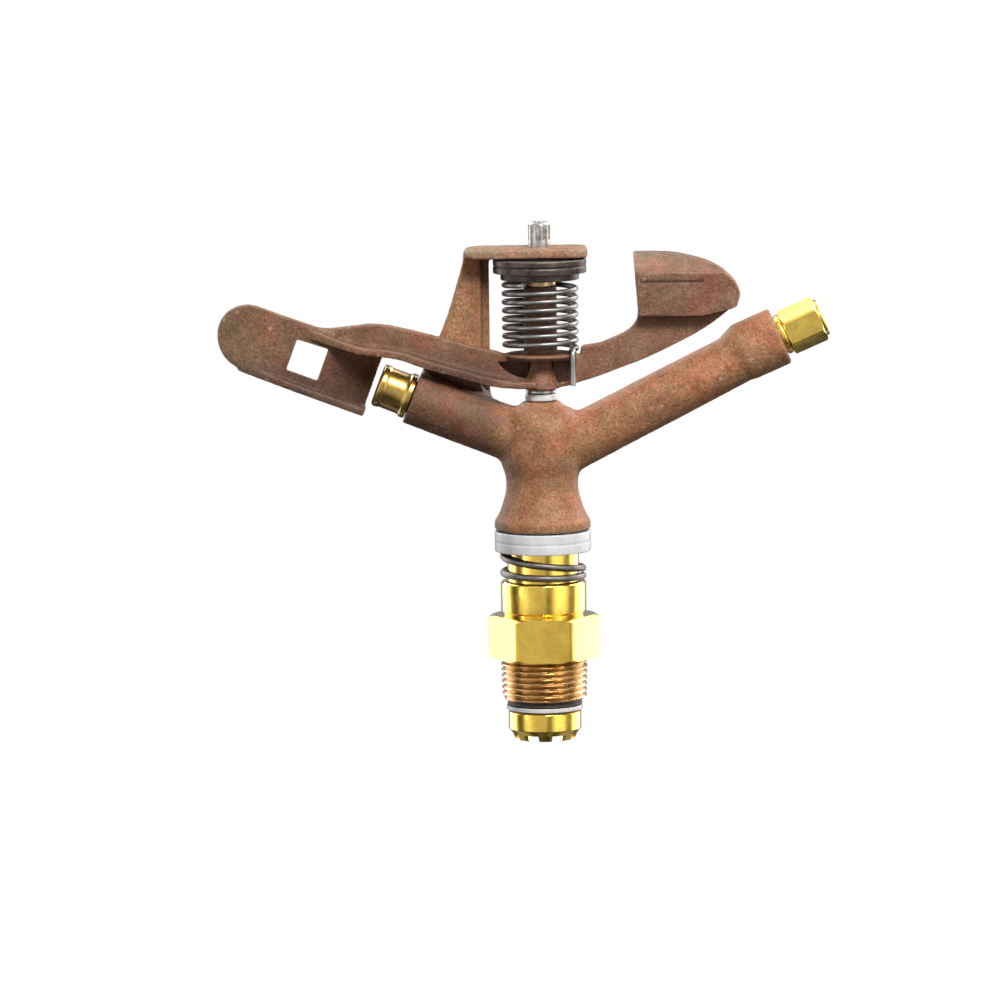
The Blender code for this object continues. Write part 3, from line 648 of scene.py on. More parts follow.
def nipple(brass, thread_brass):
    """Threaded nipple: tapered thread, hexagon, barrel and collar, bored through."""
    made = new_object("nipple", thread_solid())
    neck = THREAD_RADIUS - THREAD_DEPTH
    groove = NIPPLE_RADIUS - 0.5 * MM
    top = NIPPLE_HIGH.z
    barrel = [(0, -0.4 * MM), (neck, -0.4 * MM), (neck, HEX_TOP), (groove, HEX_TOP),
              (groove, HEX_TOP + 0.9 * MM), (NIPPLE_RADIUS, HEX_TOP + 1.3 * MM),
              (NIPPLE_RADIUS, NIPPLE_SHOULDER - 0.6 * MM),
              (NIPPLE_RADIUS - 0.6 * MM, NIPPLE_SHOULDER), (COLLAR_RADIUS, NIPPLE_SHOULDER),
              (COLLAR_RADIUS, top - 0.4 * MM), (COLLAR_RADIUS - 0.4 * MM, top), (0, top)]
    combine(made, [turned(rounded(barrel, 0.15 * MM, 2)),
                   hexagon(HEX_FLATS, 0, HEX_TOP, HEX_CHAMFER)])
    cut(made, rod(TUBE_RADIUS + GAP, NIPPLE_LOW.z - 1 * MM, top + 1 * MM))
    piece(made, (brass, thread_brass), "base", ["bearing_nipple"])
    for face in made.data.polygons:
        if face.center.z < -0.05 * MM:
            face.material_index = 1


def tube(brass):
    """Turning tube, with a slotted spanner flange at its lower end."""
    flange = -TUBE_LOW.x
    bottom = TUBE_LOW.z
    profile = [(TUBE_BORE, bottom), (flange - 2.0 * MM, bottom),
               (flange - 1.2 * MM, bottom + SLOT_DEPTH),
               (flange, bottom + SLOT_DEPTH + 1.5 * MM), (flange, TUBE_SHOULDER - 0.5 * MM),
               (flange - 0.5 * MM, TUBE_SHOULDER), (TUBE_RADIUS, TUBE_SHOULDER),
               (TUBE_RADIUS, TUBE_HIGH.z), (TUBE_BORE, TUBE_HIGH.z)]
    made = new_object("tube", turned(rounded(profile, 0.2 * MM, 3)))
    slot = in_mm([(-15, -1.7), (15, -1.7), (15, 1.7), (-15, 1.7)])
    for i in range(SPANNER_SLOTS // 2):
        bar = prism(slot, bottom - 1 * MM, bottom + SLOT_DEPTH, seen_from_above)
        cut(made, moved(bar, Matrix.Rotation((i + 0.5) * 2 * pi / SPANNER_SLOTS, 4, "Z")))
    piece(made, brass, "head", ["bearing_tube"])


def face_seal(rubber, nylon):
    """Rubber seal washer and the white slip washer below it, a little worn and waisted."""
    inner = TUBE_RADIUS + GAP
    for name, surface, slot, body, node, waist in (
            ("seal_ring", rubber, "black_rubber", "base", "lower_seal_washer", 0.25 * MM),
            ("slip_ring", nylon, "white_nylon", "head", "lower_slip_washer", 0.0)):
        low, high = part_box(node)
        middle = (low.z + high.z) / 2
        profile = [(inner, low.z), (high.x, low.z), (high.x - waist, middle), (high.x, high.z),
                   (inner, high.z)]
        made = new_object(name, turned(rounded(profile, 0.3 * MM)))
        piece(made, surface, body, [node])


def guard(nylon):
    """White cup over the seal spring, with a shallow groove round its middle."""
    hole = TUBE_RADIUS + GAP
    outer = GUARD_HIGH.x
    inside = outer - 1.2 * MM
    middle = (GUARD_LOW.z + GUARD_HIGH.z) / 2
    profile = [(hole, GUARD_WEB), (inside, GUARD_WEB), (inside, GUARD_LOW.z),
               (outer, GUARD_LOW.z), (outer, middle - 0.5 * MM), (outer - 0.12 * MM, middle),
               (outer, middle + 0.5 * MM), (outer, GUARD_HIGH.z), (hole, GUARD_HIGH.z)]
    made = new_object("guard_cup", turned(rounded(profile, 0.45 * MM)))
    piece(made, nylon, "guard", ["sand_guard"])


def seal_spring_height(turns):
    """Height of the wire's centre after a number of turns from the bottom."""
    closed = SEAL_CLOSED_PITCH * min(turns, 1)
    opened = SEAL_OPEN_PITCH * min(max(turns - 1, 0), SEAL_OPEN_TURNS)
    last = SEAL_CLOSED_PITCH * max(turns - 1 - SEAL_OPEN_TURNS, 0)
    return NIPPLE_SHOULDER + GAP + SEAL_WIRE + closed + opened + last


def pressure_spring(steel):
    """Left-hand seal spring, open between one closed turn at each end."""
    turns = 2 + SEAL_OPEN_TURNS
    count = ceil(turns * 56)
    points = []
    for i in range(count + 1):
        t = turns * i / count
        around = Vector((cos(-2 * pi * t), sin(-2 * pi * t), 0)) * SEAL_COIL
        points.append(around + Vector((0, 0, seal_spring_height(t))))
    made = new_object("pressure_spring", wire(points, SEAL_WIRE, 18), 50)
    piece(made, steel, None, ["seal_spring"])
    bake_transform(made)


# -------------------------------- head casting

ALONG_RANGE = aimed((0, RANGE_ROOT), RANGE_ANGLE)
ALONG_SPREADER = aimed((0, SPREADER_ROOT), pi - SPREADER_ANGLE)
RANGE_END = aimed(RANGE_MOUTH, RANGE_MOUTH_ANGLE)
SPREADER_END = aimed(SPREADER_MOUTH, pi - SPREADER_ANGLE)


def trunk():
    """Turned trunk, from the flange over the guard up to the pin boss."""
    side = spline(in_mm([(14.7, 42.4), (13.7, 43.8), (12.7, 46.0), (11.9, 48.6), (11.2, 51.2),
                         (11.0, 54.0), (11.3, 56.6), (12.2, 59.0), (12.9, 62.5), (12.9, 68.0),
                         (12.2, 73.0), (9.8, 76.4), (7.2, 77.5)]), 3)
    bottom = CASTING_LOW.z
    profile = [(0, bottom), (14.7 * MM, bottom)] + side
    profile += [(BOSS_RADIUS, 78.0 * MM), (BOSS_RADIUS, BOSS_TOP), (0, BOSS_TOP)]
    return turned(profile)


def barrels():
    """Range barrel with its end boss, and the shorter spreader barrel."""
    range_barrel = rod(8.5 * MM, -4 * MM, RANGE_LENGTH - 6 * MM, 7.75 * MM)
    spreader_barrel = rod(8.5 * MM, -4 * MM, SPREADER_LENGTH, 8.3 * MM)
    end_boss = turned(in_mm([(0, -17), (7.0, -17), (9.05, -12.4), (9.05, -0.5), (8.5, 0), (0, 0)]))
    return [moved(range_barrel, ALONG_RANGE), moved(spreader_barrel, ALONG_SPREADER),
            moved(end_boss, RANGE_END)]


def bridge():
    """Upright behind the arm and the flat bar over it, with a stepped inner edge."""
    left = spline(in_mm([(-23.1, 125.6), (-23.6, 121.0), (-25.2, 115.5), (-27.6, 107.5),
                         (-30.2, 100.6), (-33.2, 94.4), (-36.2, 89.2)]), 4)
    foot = in_mm([(-35.2, 82.0), (-13.0, 70.0), (-12.0, 76.0), (-14.6, 79.0)])
    back = left + foot + in_mm([(-15.5, 81.5), (-15.5, 121.6), (-14.8, 122.8),
                                (-10.0, 124.0), (-10.0, 125.6)])
    front = left + foot + in_mm([(-18.1, 83.5), (-18.1, 121.0), (-18.1, 125.6)])
    step = 3.2 * MM
    bar = rounded([(BAR_ENDS[0], -BAR_HALF_DEPTH), (BAR_ENDS[1], -BAR_HALF_DEPTH),
                   (BAR_ENDS[1], BAR_HALF_DEPTH), (BAR_ENDS[0], BAR_HALF_DEPTH)], 5 * MM, 8)
    return [prism(back, LEG_FRONT + step, LEG_BACK, facing_front),
            prism(front, LEG_FRONT, LEG_BACK, facing_front),
            prism(bar, BAR_BOTTOM, BAR_TOP, seen_from_above)]


def casting_fillets(places):
    """Where the foundry pattern has generous inner radii."""
    crotch = near_line(places, (-6 * MM, 0, 66 * MM), (16 * MM, 0, 68 * MM), 15 * MM, 8 * MM)
    inside = 1 - near(places, (0, 0, BOSS_TOP), 5.2 * MM, 2.5 * MM)
    foot = near_line(places, (-36 * MM, 4 * MM, 86 * MM), (-14 * MM, 4 * MM, 76 * MM),
                     3 * MM, 4 * MM)
    end_boss = near(places, (58 * MM, 0, 91 * MM), 9 * MM, 3 * MM) * 0.2
    bar_middle = (BAR_BOTTOM + BAR_TOP) / 2
    bar_nose = near_line(places, (BAR_ENDS[0], -BAR_HALF_DEPTH, BAR_TOP),
                         (BAR_ENDS[0], BAR_HALF_DEPTH, BAR_TOP), 2.6 * MM, 2.5 * MM)
    bar_front = near_line(places, (BAR_ENDS[0], -BAR_HALF_DEPTH, bar_middle),
                          (BAR_ENDS[1], -BAR_HALF_DEPTH, bar_middle), 2.2 * MM, 1.0 * MM) * 0.22
    return np.maximum.reduce([crotch * inside, foot, end_boss, bar_nose, bar_front])


def head(bronze):
    """Hollow head casting, its bores and faces machined after casting."""
    made = cast("head_casting", [trunk()] + barrels() + bridge(), 4, casting_fillets, 46)
    socket = TUBE_RADIUS + GAP
    column = turned([(0, 38 * MM), (RECESS_RADIUS, 38 * MM), (RECESS_RADIUS, RECESS_TOP),
                     (socket, RECESS_TOP), (socket, TUBE_HIGH.z + GAP),
                     (TUBE_BORE, TUBE_HIGH.z + GAP), (6.3 * MM, 61.7 * MM), (0, 61.7 * MM)])
    cut(made,
        moved(rod(20 * MM, 0, 20 * MM), RANGE_END),
        moved(rod(20 * MM, 0, 20 * MM), SPREADER_END),
        rod(20 * MM, 30 * MM, CASTING_LOW.z),
        moved(rod(6.2 * MM, -13 * MM, 1 * MM), RANGE_END),
        moved(rod(5.3 * MM, -9 * MM, 3 * MM), SPREADER_END),
        column,
        moved(rod(5.6 * MM, -1.5 * MM, RANGE_LENGTH - 8 * MM), ALONG_RANGE),
        moved(rod(4.3 * MM, -1.5 * MM, SPREADER_LENGTH - 7 * MM), ALONG_SPREADER),
        rod(PIN_RADIUS + GAP, PIN_LOW.z - GAP, 100 * MM),
        rod(PIN_HEAD_RADIUS + GAP, 120 * MM, 130 * MM),
        rod(12 * MM, BOSS_TOP, BOSS_TOP + 2.2 * MM))
    piece(made, bronze, "head", ["body_casting"])


def range_nozzle(brass):
    """Hexagon nozzle, its end rim turned round, with a conical bore."""
    flats = 12.7 * MM
    made = new_object("range_tip", rod(5.9 * MM, -9 * MM, 1.4 * MM))
    collar = turned(rounded(in_mm([(0, 0.3), (6.3, 0.3), (6.3, 1.5), (5.6, 2.2), (0, 2.2)]),
                            0.2 * MM))
    end_ring = turned(rounded(in_mm([(0, 12), (5.75, 12), (5.75, 14.2), (4.6, 14.2), (0, 14.2)]),
                              0.4 * MM))
    combine(made, [collar, hexagon(flats, 1.9 * MM, 13.2 * MM, 1.0 * MM), end_ring])
    cut(made, turned(in_mm([(0, -10), (4.7, -10), (4.7, -6), (2.4, 9), (2.4, 12.2), (4.2, 15),
                            (0, 15)])))
    made.data.transform(RANGE_END)
    piece(made, brass, "head", ["range_nozzle"])


def spreader_nozzle(brass):
    """Round nozzle with a flange against the barrel and a rolled rim at its end."""
    profile = in_mm([(0, -8), (5.0, -8), (5.0, 0.3), (7.1, 0.3), (7.1, 1.9), (6.6, 2.4),
                     (6.45, 3.2), (6.4, 8.6), (6.7, 9.1), (6.7, 10.6), (6.0, 11.1), (0, 11.1)])
    made = new_object("spreader_tip", turned(rounded(profile, 0.35 * MM)))
    cut(made, turned(in_mm([(0, -9), (3.9, -9), (3.9, -5), (1.9, 7), (1.9, 9.4), (4.0, 12),
                            (0, 12)])))
    made.data.transform(SPREADER_END)
    piece(made, brass, "head", ["spreader_nozzle"])


def pin(steel):
    """Fulcrum pin: plain shank, and a head with flutes cut above the bridge."""
    profile = [(0, PIN_LOW.z), (PIN_RADIUS - 0.3 * MM, PIN_LOW.z),
               (PIN_RADIUS, PIN_LOW.z + 0.3 * MM), (PIN_RADIUS, PIN_SHOULDER),
               (PIN_HEAD_RADIUS, PIN_SHOULDER), (PIN_HEAD_RADIUS, PIN_HIGH.z - 0.8 * MM),
               (PIN_HEAD_RADIUS - 0.7 * MM, PIN_HIGH.z), (1.2 * MM, PIN_HIGH.z),
               (0.9 * MM, PIN_HIGH.z - 0.5 * MM), (0, PIN_HIGH.z - 0.5 * MM)]
    made = new_object("pin", turned(rounded(profile, 0.15 * MM, 2)))
    flutes = []
    for x, y in circle(PIN_HEAD_RADIUS + 0.15 * MM, 10, 0.2):
        flute = rod(0.68 * MM, 128.6 * MM, 133.2 * MM, segments=16)
        flutes.append(moved(flute, Matrix.Translation((x, y, 0))))
    cut(made, *flutes)
    piece(made, steel, "head", ["fulcrum_pin"])


def cap(steel):
    """Pressed cap under the bridge: a step, a rolled rim and a groove in its edge."""
    hole = PIN_HEAD_RADIUS + GAP
    middle = (CAP_RIM + CAP_HIGH.z) / 2
    rim = CAP_HIGH.x
    profile = [(hole, CAP_LOW.z), (CAP_STEP_RADIUS, CAP_LOW.z), (CAP_STEP_RADIUS, CAP_RIM),
               (rim, CAP_RIM), (rim, middle - 0.4 * MM), (rim - 0.25 * MM, middle),
               (rim, middle + 0.4 * MM), (rim, CAP_HIGH.z), (hole, CAP_HIGH.z)]
    made = new_object("cap", turned(rounded(profile, 0.4 * MM)))
    piece(made, steel, "head", ["spring_cap"])


def washers(nylon, steel):
    """White friction washer on the boss, and the thin steel one under the arm."""
    inner = PIN_RADIUS + GAP
    white = new_object("friction_ring", ring(inner, WASHER_HIGH.x, WASHER_LOW.z, WASHER_HIGH.z,
                                             0.5 * MM))
    piece(white, nylon, "head", ["arm_friction_washer"])
    low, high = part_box("arm_steel_washer")
    thin = new_object("thrust_ring", ring(inner, high.x, low.z, high.z, 0.15 * MM))
    piece(thin, steel, "arm", ["arm_steel_washer"])


# -------------------------------- arm

def jet_point(along, up, y):
    """World point from the jet's own frame, which starts at the spreader nozzle's end."""
    start_x = SPREADER_MOUTH[0] - NOZZLE_LENGTH * cos(SPREADER_ANGLE)
    start_z = SPREADER_MOUTH[1] + NOZZLE_LENGTH * sin(SPREADER_ANGLE)
    return (start_x - along * cos(JET_ANGLE) + up * sin(JET_ANGLE), y,
            start_z + along * sin(JET_ANGLE) + up * cos(JET_ANGLE))


def jet_plan(along, y, up):
    return jet_point(along, up, y)


def web():
    """Flat web of the arm's left side, from the hub up to the spoon."""
    lower = spline(in_mm([(0, 84.4), (-6.4, 84.6), (-12.6, 85.6), (-18.7, 87.0), (-24.8, 88.8),
                          (-30.9, 90.5), (-37.0, 92.3), (-43.1, 94.3), (-49.0, 95.4),
                          (-55.4, 96.0), (-60.0, 97.2), (-66.6, 99.6), (-72.0, 99.8)]), 3)
    upper = spline(in_mm([(-72.0, 103.6), (-66.0, 102.3), (-61.0, 102.6), (-55.2, 103.2),
                          (-52.2, 103.5), (-47.5, 103.2), (-43.0, 102.3), (-36.9, 100.8),
                          (-30.7, 99.1), (-24.6, 97.4), (-18.5, 95.7), (-12.3, 94.4),
                          (-11.0, 93.0), (0, 93.0)]), 3)
    return prism(lower + upper, WEB_FRONT, WEB_BACK, facing_front)


def lip():
    """Flange that stands forward along the web's lower edge and runs out on the spoon."""
    lower = spline(in_mm([(-1.5, 83.6), (-6.4, 83.5), (-12.6, 84.0), (-18.7, 85.4),
                          (-24.8, 87.2), (-30.9, 88.9), (-37.0, 90.7), (-43.1, 92.9),
                          (-49.2, 93.9), (-55.4, 94.7), (-62.0, 96.6), (-69.0, 98.9),
                          (-75.0, 100.6)]), 3)
    upper = spline(in_mm([(-76.0, 104.2), (-69.0, 101.9), (-62.0, 99.2), (-55.4, 97.0),
                          (-49.2, 96.2), (-43.1, 95.3), (-37.0, 93.3), (-30.9, 91.4),
                          (-24.8, 89.7), (-18.7, 87.9), (-12.6, 86.5), (-6.4, 85.8),
                          (-1.5, 85.7)]), 3)
    front = spline([(0, LIP_FRONT), (-50 * MM, LIP_FRONT)] + in_mm(
        [(-58.0, -7.7), (-65.0, -6.2), (-72.0, -4.4), (-77.0, -3.4)]), 4)
    plan = front + [(-77 * MM, WEB_FRONT + 0.5 * MM), (0, WEB_FRONT + 0.5 * MM)]
    made = new_object("lip", prism(lower + upper, -12 * MM, 0, facing_front))
    return taken(combine(made, [prism(plan, 70 * MM, 120 * MM, seen_from_above)], "INTERSECT"))


def counterweight():
    """Right side of the arm: the rising web and the deep block at its end."""
    lower = spline(in_mm([(0, 83.2), (7.4, 83.6), (12.0, 85.0), (18.2, 86.9), (24.3, 89.2),
                          (30.5, 91.4), (36.6, 94.1), (42.8, 97.1), (49.0, 100.4),
                          (53.6, 103.4), (58.6, 107.4)]), 3)
    upper = in_mm([(50.0, 110.0), (30.2, 110.0)]) + spline(
        in_mm([(29.6, 104.0), (27.5, 101.3), (24.5, 99.5), (21.4, 98.2), (18.3, 97.0),
               (12.2, 96.0)]), 3) + in_mm([(12.2, 93.0), (0, 93.0)])
    nose = spline(in_mm([(49.0, 105.2), (58.8, 107.4), (60.3, 109.4), (60.9, 112.4),
                         (59.4, 115.6), (56.9, 118.1), (53.8, 120.3), (49.3, 122.2),
                         (43.2, 123.7), (38.6, 124.3), (28.6, 124.5)]), 3)
    block = in_mm([(30.0, 105.2)]) + nose
    return [prism(lower + upper, WEB_FRONT, WEB_BACK, facing_front),
            prism(block, WEIGHT_FRONT, WEIGHT_BACK, facing_front)]


def spoon():
    """Curved band with a round end, which the jet strikes and which throws it aside."""
    straight, end, reach, sweep = 17.2 * MM, 52.0 * MM, 33.0 * MM, 9.5 * MM
    front_line = []
    back_line = []
    steps = 28
    for i in range(steps + 1):
        along = straight + (end - straight) * i / steps
        curl = max(along - reach, 0) / (end - reach)
        slope = 2 * sweep * curl / (end - reach)
        thick = VANE_THICKNESS * (1 + slope * slope) ** 0.5
        front_line.append((along, VANE_FRONT + sweep * curl ** 2))
        back_line.append((along, VANE_FRONT + sweep * curl ** 2 + thick))
    band = new_object("band", prism(front_line + back_line[::-1], -13 * MM, 13 * MM, jet_plan))
    half, centre = 10.3 * MM, 41.6 * MM
    arc = [(centre + half * cos(a), 0.3 * MM + (half - 0.4 * MM) * sin(a))
           for a in [-pi / 2 + pi * i / 32 for i in range(1, 32)]]
    face = [(straight, -half), (centre, -half + 0.6 * MM)] + arc + [
        (centre, half), (straight, half + 0.3 * MM)]
    return taken(combine(band, [prism(face, -20 * MM, 20 * MM, jet_point)], "INTERSECT"))


def throat():
    """Wedge that splits the jet and the rib under it."""
    wedge = in_mm([(1.1, 5.4), (2.6, 5.8), (18.6, -1.9), (18.6, -4.2), (17.2, -4.2)])
    floor = in_mm([(1.1, -6.4)]) + spline(
        in_mm([(16.0, -6.4), (24.0, -6.0), (31.0, -5.2), (36.0, -4.4), (42.0, -2.2)]), 3) + in_mm(
        [(42.0, -1.0), (18.6, -1.8), (2.6, 5.8), (1.1, 5.4)])
    return [prism(wedge, -8.4 * MM, 9.2 * MM, jet_plan),
            prism(floor, -10.3 * MM, -8.0 * MM, jet_plan)]


def arm_fillets(places):
    """Soft inner corners beside the hub and where the web meets the spoon."""
    hub = near(places, (0, 0, 88 * MM), 13 * MM, 4 * MM) * 0.7
    neck = near(places, (25 * MM, -2 * MM, 106 * MM), 12 * MM, 5 * MM) * 0.5
    edge = near_line(places, (-58 * MM, -3 * MM, 97 * MM), (-12 * MM, -3 * MM, 86 * MM),
                     3 * MM, 1.5 * MM) * 0.35
    return np.maximum.reduce([hub, neck, edge])


def hub_pockets():
    """Hollows on both sides of the hub, under the spring's seat."""
    left = spline(in_mm([(-13.2, 91.7), (-11.6, 89.4), (-8.4, 87.4), (-5.2, 86.4),
                         (-4.2, 86.6)]), 4) + in_mm([(-2.6, 91.7)])
    right = in_mm([(5.0, 84.6), (9.2, 85.6), (10.6, 88.0), (10.9, 91.7), (2.8, 91.7)])
    depth = WEB_BACK - 1.2 * MM
    return [prism(rounded(outline, 0.8 * MM), WEB_FRONT - 1 * MM, depth, facing_front)
            for outline in (left, right)]


def arm(bronze):
    """Swinging arm, one casting from spoon to counterweight."""
    hub = turned([(0, HUB_BOTTOM), (HUB_RADIUS, HUB_BOTTOM), (HUB_RADIUS, 84.5 * MM),
                  (4.4 * MM, 91 * MM), (HUB_RADIUS, 94 * MM), (HUB_RADIUS, HUB_TOP),
                  (0, HUB_TOP)], 80)
    under = SEAT_TOP - 2.0 * MM
    seat = turned([(0, under), (SEAT_RADIUS - 2.2 * MM, under),
                   (SEAT_RADIUS, SEAT_TOP - 0.9 * MM), (SEAT_RADIUS, SEAT_TOP), (0, SEAT_TOP)],
                  80)
    gusset = moved(turned([(0, HUB_BOTTOM), (HUB_RADIUS, HUB_BOTTOM), (1.2 * MM, under),
                           (0, under)], 64), Matrix.Translation((0, -2.6 * MM, 0)))
    solids = [hub, seat, gusset, web(), lip(), spoon()] + counterweight() + throat()
    made = cast("swing_arm", solids, 3, arm_fillets, 14)
    window = rounded(in_mm([(17.9, -5.0), (27.9, -5.0), (27.9, 5.0), (17.9, 5.4)]), 0.6 * MM)
    ahead = WEIGHT_FRONT - 1 * MM
    bevel = [(ahead, 118.2 * MM), (WEIGHT_FRONT, 118.2 * MM), (-3.6 * MM, 125.5 * MM),
             (ahead, 125.5 * MM)]
    groove = [(ahead, 115.1 * MM), (WEIGHT_FRONT - 0.05 * MM, 115.1 * MM),
              (WEIGHT_FRONT + 0.4 * MM, 115.7 * MM), (WEIGHT_FRONT - 0.05 * MM, 116.7 * MM),
              (ahead, 116.7 * MM)]
    cut(made,
        *hub_pockets(),
        prism(window, -20 * MM, 20 * MM, jet_point),
        prism(bevel, 20 * MM, 70 * MM, seen_from_side),
        prism(groove, 30.6 * MM, 50 * MM, seen_from_side),
        rod(HUB_BORE, 80 * MM, 116 * MM),
        rod(20 * MM, HUB_BOTTOM - 10 * MM, HUB_BOTTOM),
        rod(20 * MM, HUB_TOP, HUB_TOP + 10 * MM))
    piece(made, bronze, "arm", ["drive_arm"])


def coil_spring(steel):
    """Torsion spring round the hub, its lower end turned down beside the arm."""
    top = CAP_LOW.z - GAP - SPRING_WIRE
    bottom = SEAT_TOP + GAP + SPRING_WIRE
    start = SPRING_END + 2 * pi * SPRING_TURNS
    count = ceil(SPRING_TURNS * 44)
    points = []
    for i in range(count + 1):
        t = i / count
        angle = start + (SPRING_END - start) * t
        points.append(Vector((SPRING_COIL * cos(angle), SPRING_COIL * sin(angle),
                              top + (bottom - top) * t)))
    corner = points[-1]
    outward = Vector((cos(SPRING_END), sin(SPRING_END), 0))
    sideways = Vector((sin(SPRING_END), -cos(SPRING_END), 0))
    for side, out, drop in ((1.0, 0.8, 0.0), (1.6, 1.3, 0.05), (2.0, 1.6, 0.2), (2.4, 1.8, 0.6),
                            (2.6, 1.9, 1.2), (2.6, 1.9, 4.0), (2.6, 1.9, 10.6)):
        points.append(corner + (sideways * side + outward * out - Vector((0, 0, drop))) * MM)
    made = new_object("coil_spring", wire(points, SPRING_WIRE), 50)
    piece(made, steel, None, ["arm_spring"])
    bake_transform(made)


# -------------------------------- studio

def floor():
    """Plain pale floor that the bearing tube stands on."""
    bm = bmesh.new()
    radius = 4.0
    corners = [bm.verts.new((x, y, 0)) for x, y in circle(radius, 64)]
    bm.faces.new(corners)
    made = new_object("floor", bm)
    made.location.z = TUBE_LOW.z - 0.05 * MM
    n = Material("pale_floor")
    tone = n.ramp(n.noise(0.4, 2), (0.3, (0.15, 0.15, 0.15)), (0.7, (0.18, 0.18, 0.18)))
    pale = n.finish(tone, 0.9, 0.0, None, Specular_IOR_Level=0.0)
    glow = n.add("ShaderNodeEmission", {"Strength": 1.0}).outputs[0]
    to_camera = n.add("ShaderNodeLightPath").outputs["Is Camera Ray"]
    seen = n.add("ShaderNodeMixShader", {0: to_camera, 1: n.shader.outputs[0], 2: glow})
    n.put(n.tree.nodes["Material Output"].inputs["Surface"], seen.outputs[0])
    made.data.materials.append(pale)
    made.visible_glossy = False


def panel(name, azimuth, elevation, distance, size, power):
    """Soft box aimed at the object's middle; azimuth 0 is in front, 90 to the right."""
    target = Vector((-8 * MM, 0, 60 * MM))
    a, e = radians(azimuth), radians(elevation)
    away = Vector((sin(a) * cos(e), -cos(a) * cos(e), sin(e)))
    light = bpy.data.lights.new(name, "AREA")
    light.shape = "RECTANGLE"
    light.size, light.size_y = size
    light.energy = power
    made = bpy.data.objects.new(name, light)
    made.location = target + away * distance
    made.rotation_euler = (-away).to_track_quat("-Z", "Y").to_euler()
    bpy.context.scene.collection.objects.link(made)


def background(n, strength, colour=(1, 1, 1, 1)):
    inputs = {"Color": colour, "Strength": strength}
    return n.add("ShaderNodeBackground", inputs).outputs[0]


def strip_lights(n):
    """Strips and dark gaps by azimuth, over dark ground."""
    generated = n.add("ShaderNodeTexCoord").outputs["Generated"]
    direction = n.add("ShaderNodeSeparateXYZ", {0: generated}).outputs
    towards_front = n.maths("MULTIPLY", direction["Y"], -1)
    azimuth = n.maths("ARCTAN2", direction["X"], towards_front)
    stops = [((degrees + 180) / 360, (level,) * 3) for degrees, level in STUDIO_STRIPS]
    strips = n.ramp(n.span(azimuth, -pi, pi), *stops)
    strength = n.span(direction["Z"], *GROUND_FADE, GROUND_LEVEL * STUDIO_BRIGHTNESS,
                      STUDIO_BRIGHTNESS)
    return background(n, strength, strips)


def surroundings():
    """White to the camera, strip lights to shiny surfaces, and a faint even fill."""
    world = bpy.data.worlds.new("studio")
    bpy.context.scene.world = world
    world.use_nodes = True
    world.node_tree.nodes.clear()
    n = Nodes(world.node_tree)
    ray = n.add("ShaderNodeLightPath").outputs
    by_gloss = n.add("ShaderNodeMixShader", {0: ray["Is Glossy Ray"],
                                             1: background(n, FILL_BRIGHTNESS),
                                             2: strip_lights(n)})
    by_camera = n.add("ShaderNodeMixShader", {0: ray["Is Camera Ray"], 1: by_gloss.outputs[0],
                                              2: background(n, 1.0)})
    n.add("ShaderNodeOutputWorld", {"Surface": by_camera.outputs[0]})


def lights():
    """Two tall boxes at the sides, a broad one high in front and two behind."""
    panel("key_left", -62, 14, 0.9, (0.12, 0.70), 0.9)
    panel("key_right", 48, 32, 0.9, (0.16, 0.60), 2.6)
    panel("top", 16, 44, 0.9, (0.30, 0.25), 7.2)
    panel("back_left", -150, 35, 1.0, (0.4, 0.6), 4.0)
    panel("back_right", 140, 35, 1.0, (0.4, 0.6), 4.0)


def camera():
    """Long lens a little above level and turned by less than a degree."""
    elevation, roll = radians(7), radians(0.75)
    field, distance, sensor = 306.6 * MM, 2.0, 36.0
    target = Vector((-13.0 * MM, 0, 48.66 * MM))
    data = bpy.data.cameras.new("camera")
    data.sensor_width = sensor
    data.lens = sensor * distance / field
    data.clip_end = 20
    made = bpy.data.objects.new("camera", data)
    away = Vector((0, -cos(elevation), sin(elevation)))
    made.location = target + away * distance
    facing = (-away).to_track_quat("-Z", "Y").to_matrix().to_4x4()
    turn = Matrix.Rotation(-roll, 4, "Z")
    made.matrix_world = Matrix.Translation(made.location) @ facing @ turn
    bpy.context.scene.collection.objects.link(made)
    bpy.context.scene.camera = made
    bpy.context.scene.view_settings.view_transform = "Standard"


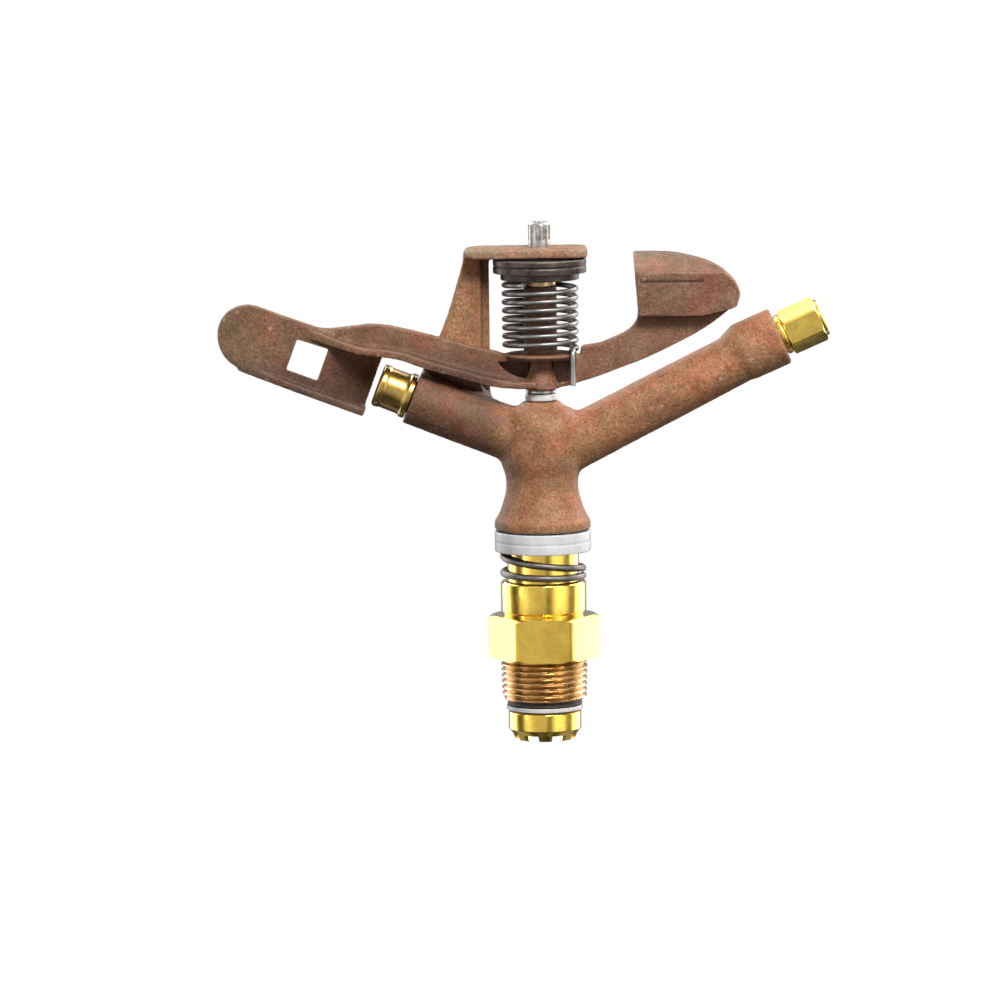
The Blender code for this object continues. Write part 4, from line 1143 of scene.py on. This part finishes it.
def dress(node, surface):
    """Gives a CAD node that stays in view its material."""
    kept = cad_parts[node]
    kept.data.materials.clear()
    kept.data.materials.append(surface)


def build():
    """Materials first, then each piece from the bearing up."""
    bronze = cast_bronze("cast_bronze", (0.300, 0.128, 0.060), (0.400, 0.182, 0.092),
                         (0.480, 0.238, 0.130))
    arm_bronze = cast_bronze("arm_bronze", (0.178, 0.082, 0.048), (0.242, 0.116, 0.070),
                             (0.312, 0.164, 0.102))
    brass = turned_brass("polished_brass", (0.90, 0.61, 0.075), (0.76, 0.47, 0.045), 0.14,
                         (0.15, 0.15, 1))
    # Thread brass: coppery, and darker as painted shade between the threads.
    thread_brass = turned_brass("thread_brass", (0.60, 0.36, 0.12), (0.42, 0.22, 0.06), 0.28,
                                (0.15, 0.15, 1))
    tip_brass = turned_brass("nozzle_brass", (0.92, 0.64, 0.10), (0.72, 0.42, 0.05), 0.26,
                             (1, 1, 1))
    # Painted shade: a darker copy of the nozzle brass for the spreader nozzle, standing for the
    # arm's shadow over it.
    spreader_shade_brass = turned_brass("spreader_shade_brass", (0.58, 0.36, 0.07), (0.20, 0.13, 0.05), 0.30,
                              (1, 1, 1))
    steel = dull_steel("dull_steel", (0.095, 0.078, 0.070), (0.045, 0.032, 0.025), 0.42)
    bright_steel = dull_steel("pin_steel", (0.50, 0.48, 0.46), (0.22, 0.19, 0.17), 0.28)
    spring_steel = dull_steel("spring_steel", (0.085, 0.075, 0.075), (0.035, 0.027, 0.025), 0.34)
    bushing = turned_brass("bushing_bronze", (0.52, 0.32, 0.15), (0.36, 0.20, 0.09), 0.32,
                           (0.15, 0.15, 1))
    nylon = white_nylon()
    rubber = black_rubber()
    nipple(brass, thread_brass)
    tube(brass)
    face_seal(rubber, nylon)
    guard(nylon)
    pressure_spring(steel)
    head(bronze)
    range_nozzle(tip_brass)
    spreader_nozzle(spreader_shade_brass)
    pin(bright_steel)
    cap(steel)
    washers(nylon, bright_steel)
    arm(arm_bronze)
    coil_spring(spring_steel)
    dress("guard_slip_washer", nylon)
    dress("guard_steel_washer", bright_steel)
    dress("straightening_vane", brass)
    dress("upper_arm_bushing", bushing)
    dress("lower_arm_bushing", bushing)


build()
floor()
surroundings()
lights()
camera()
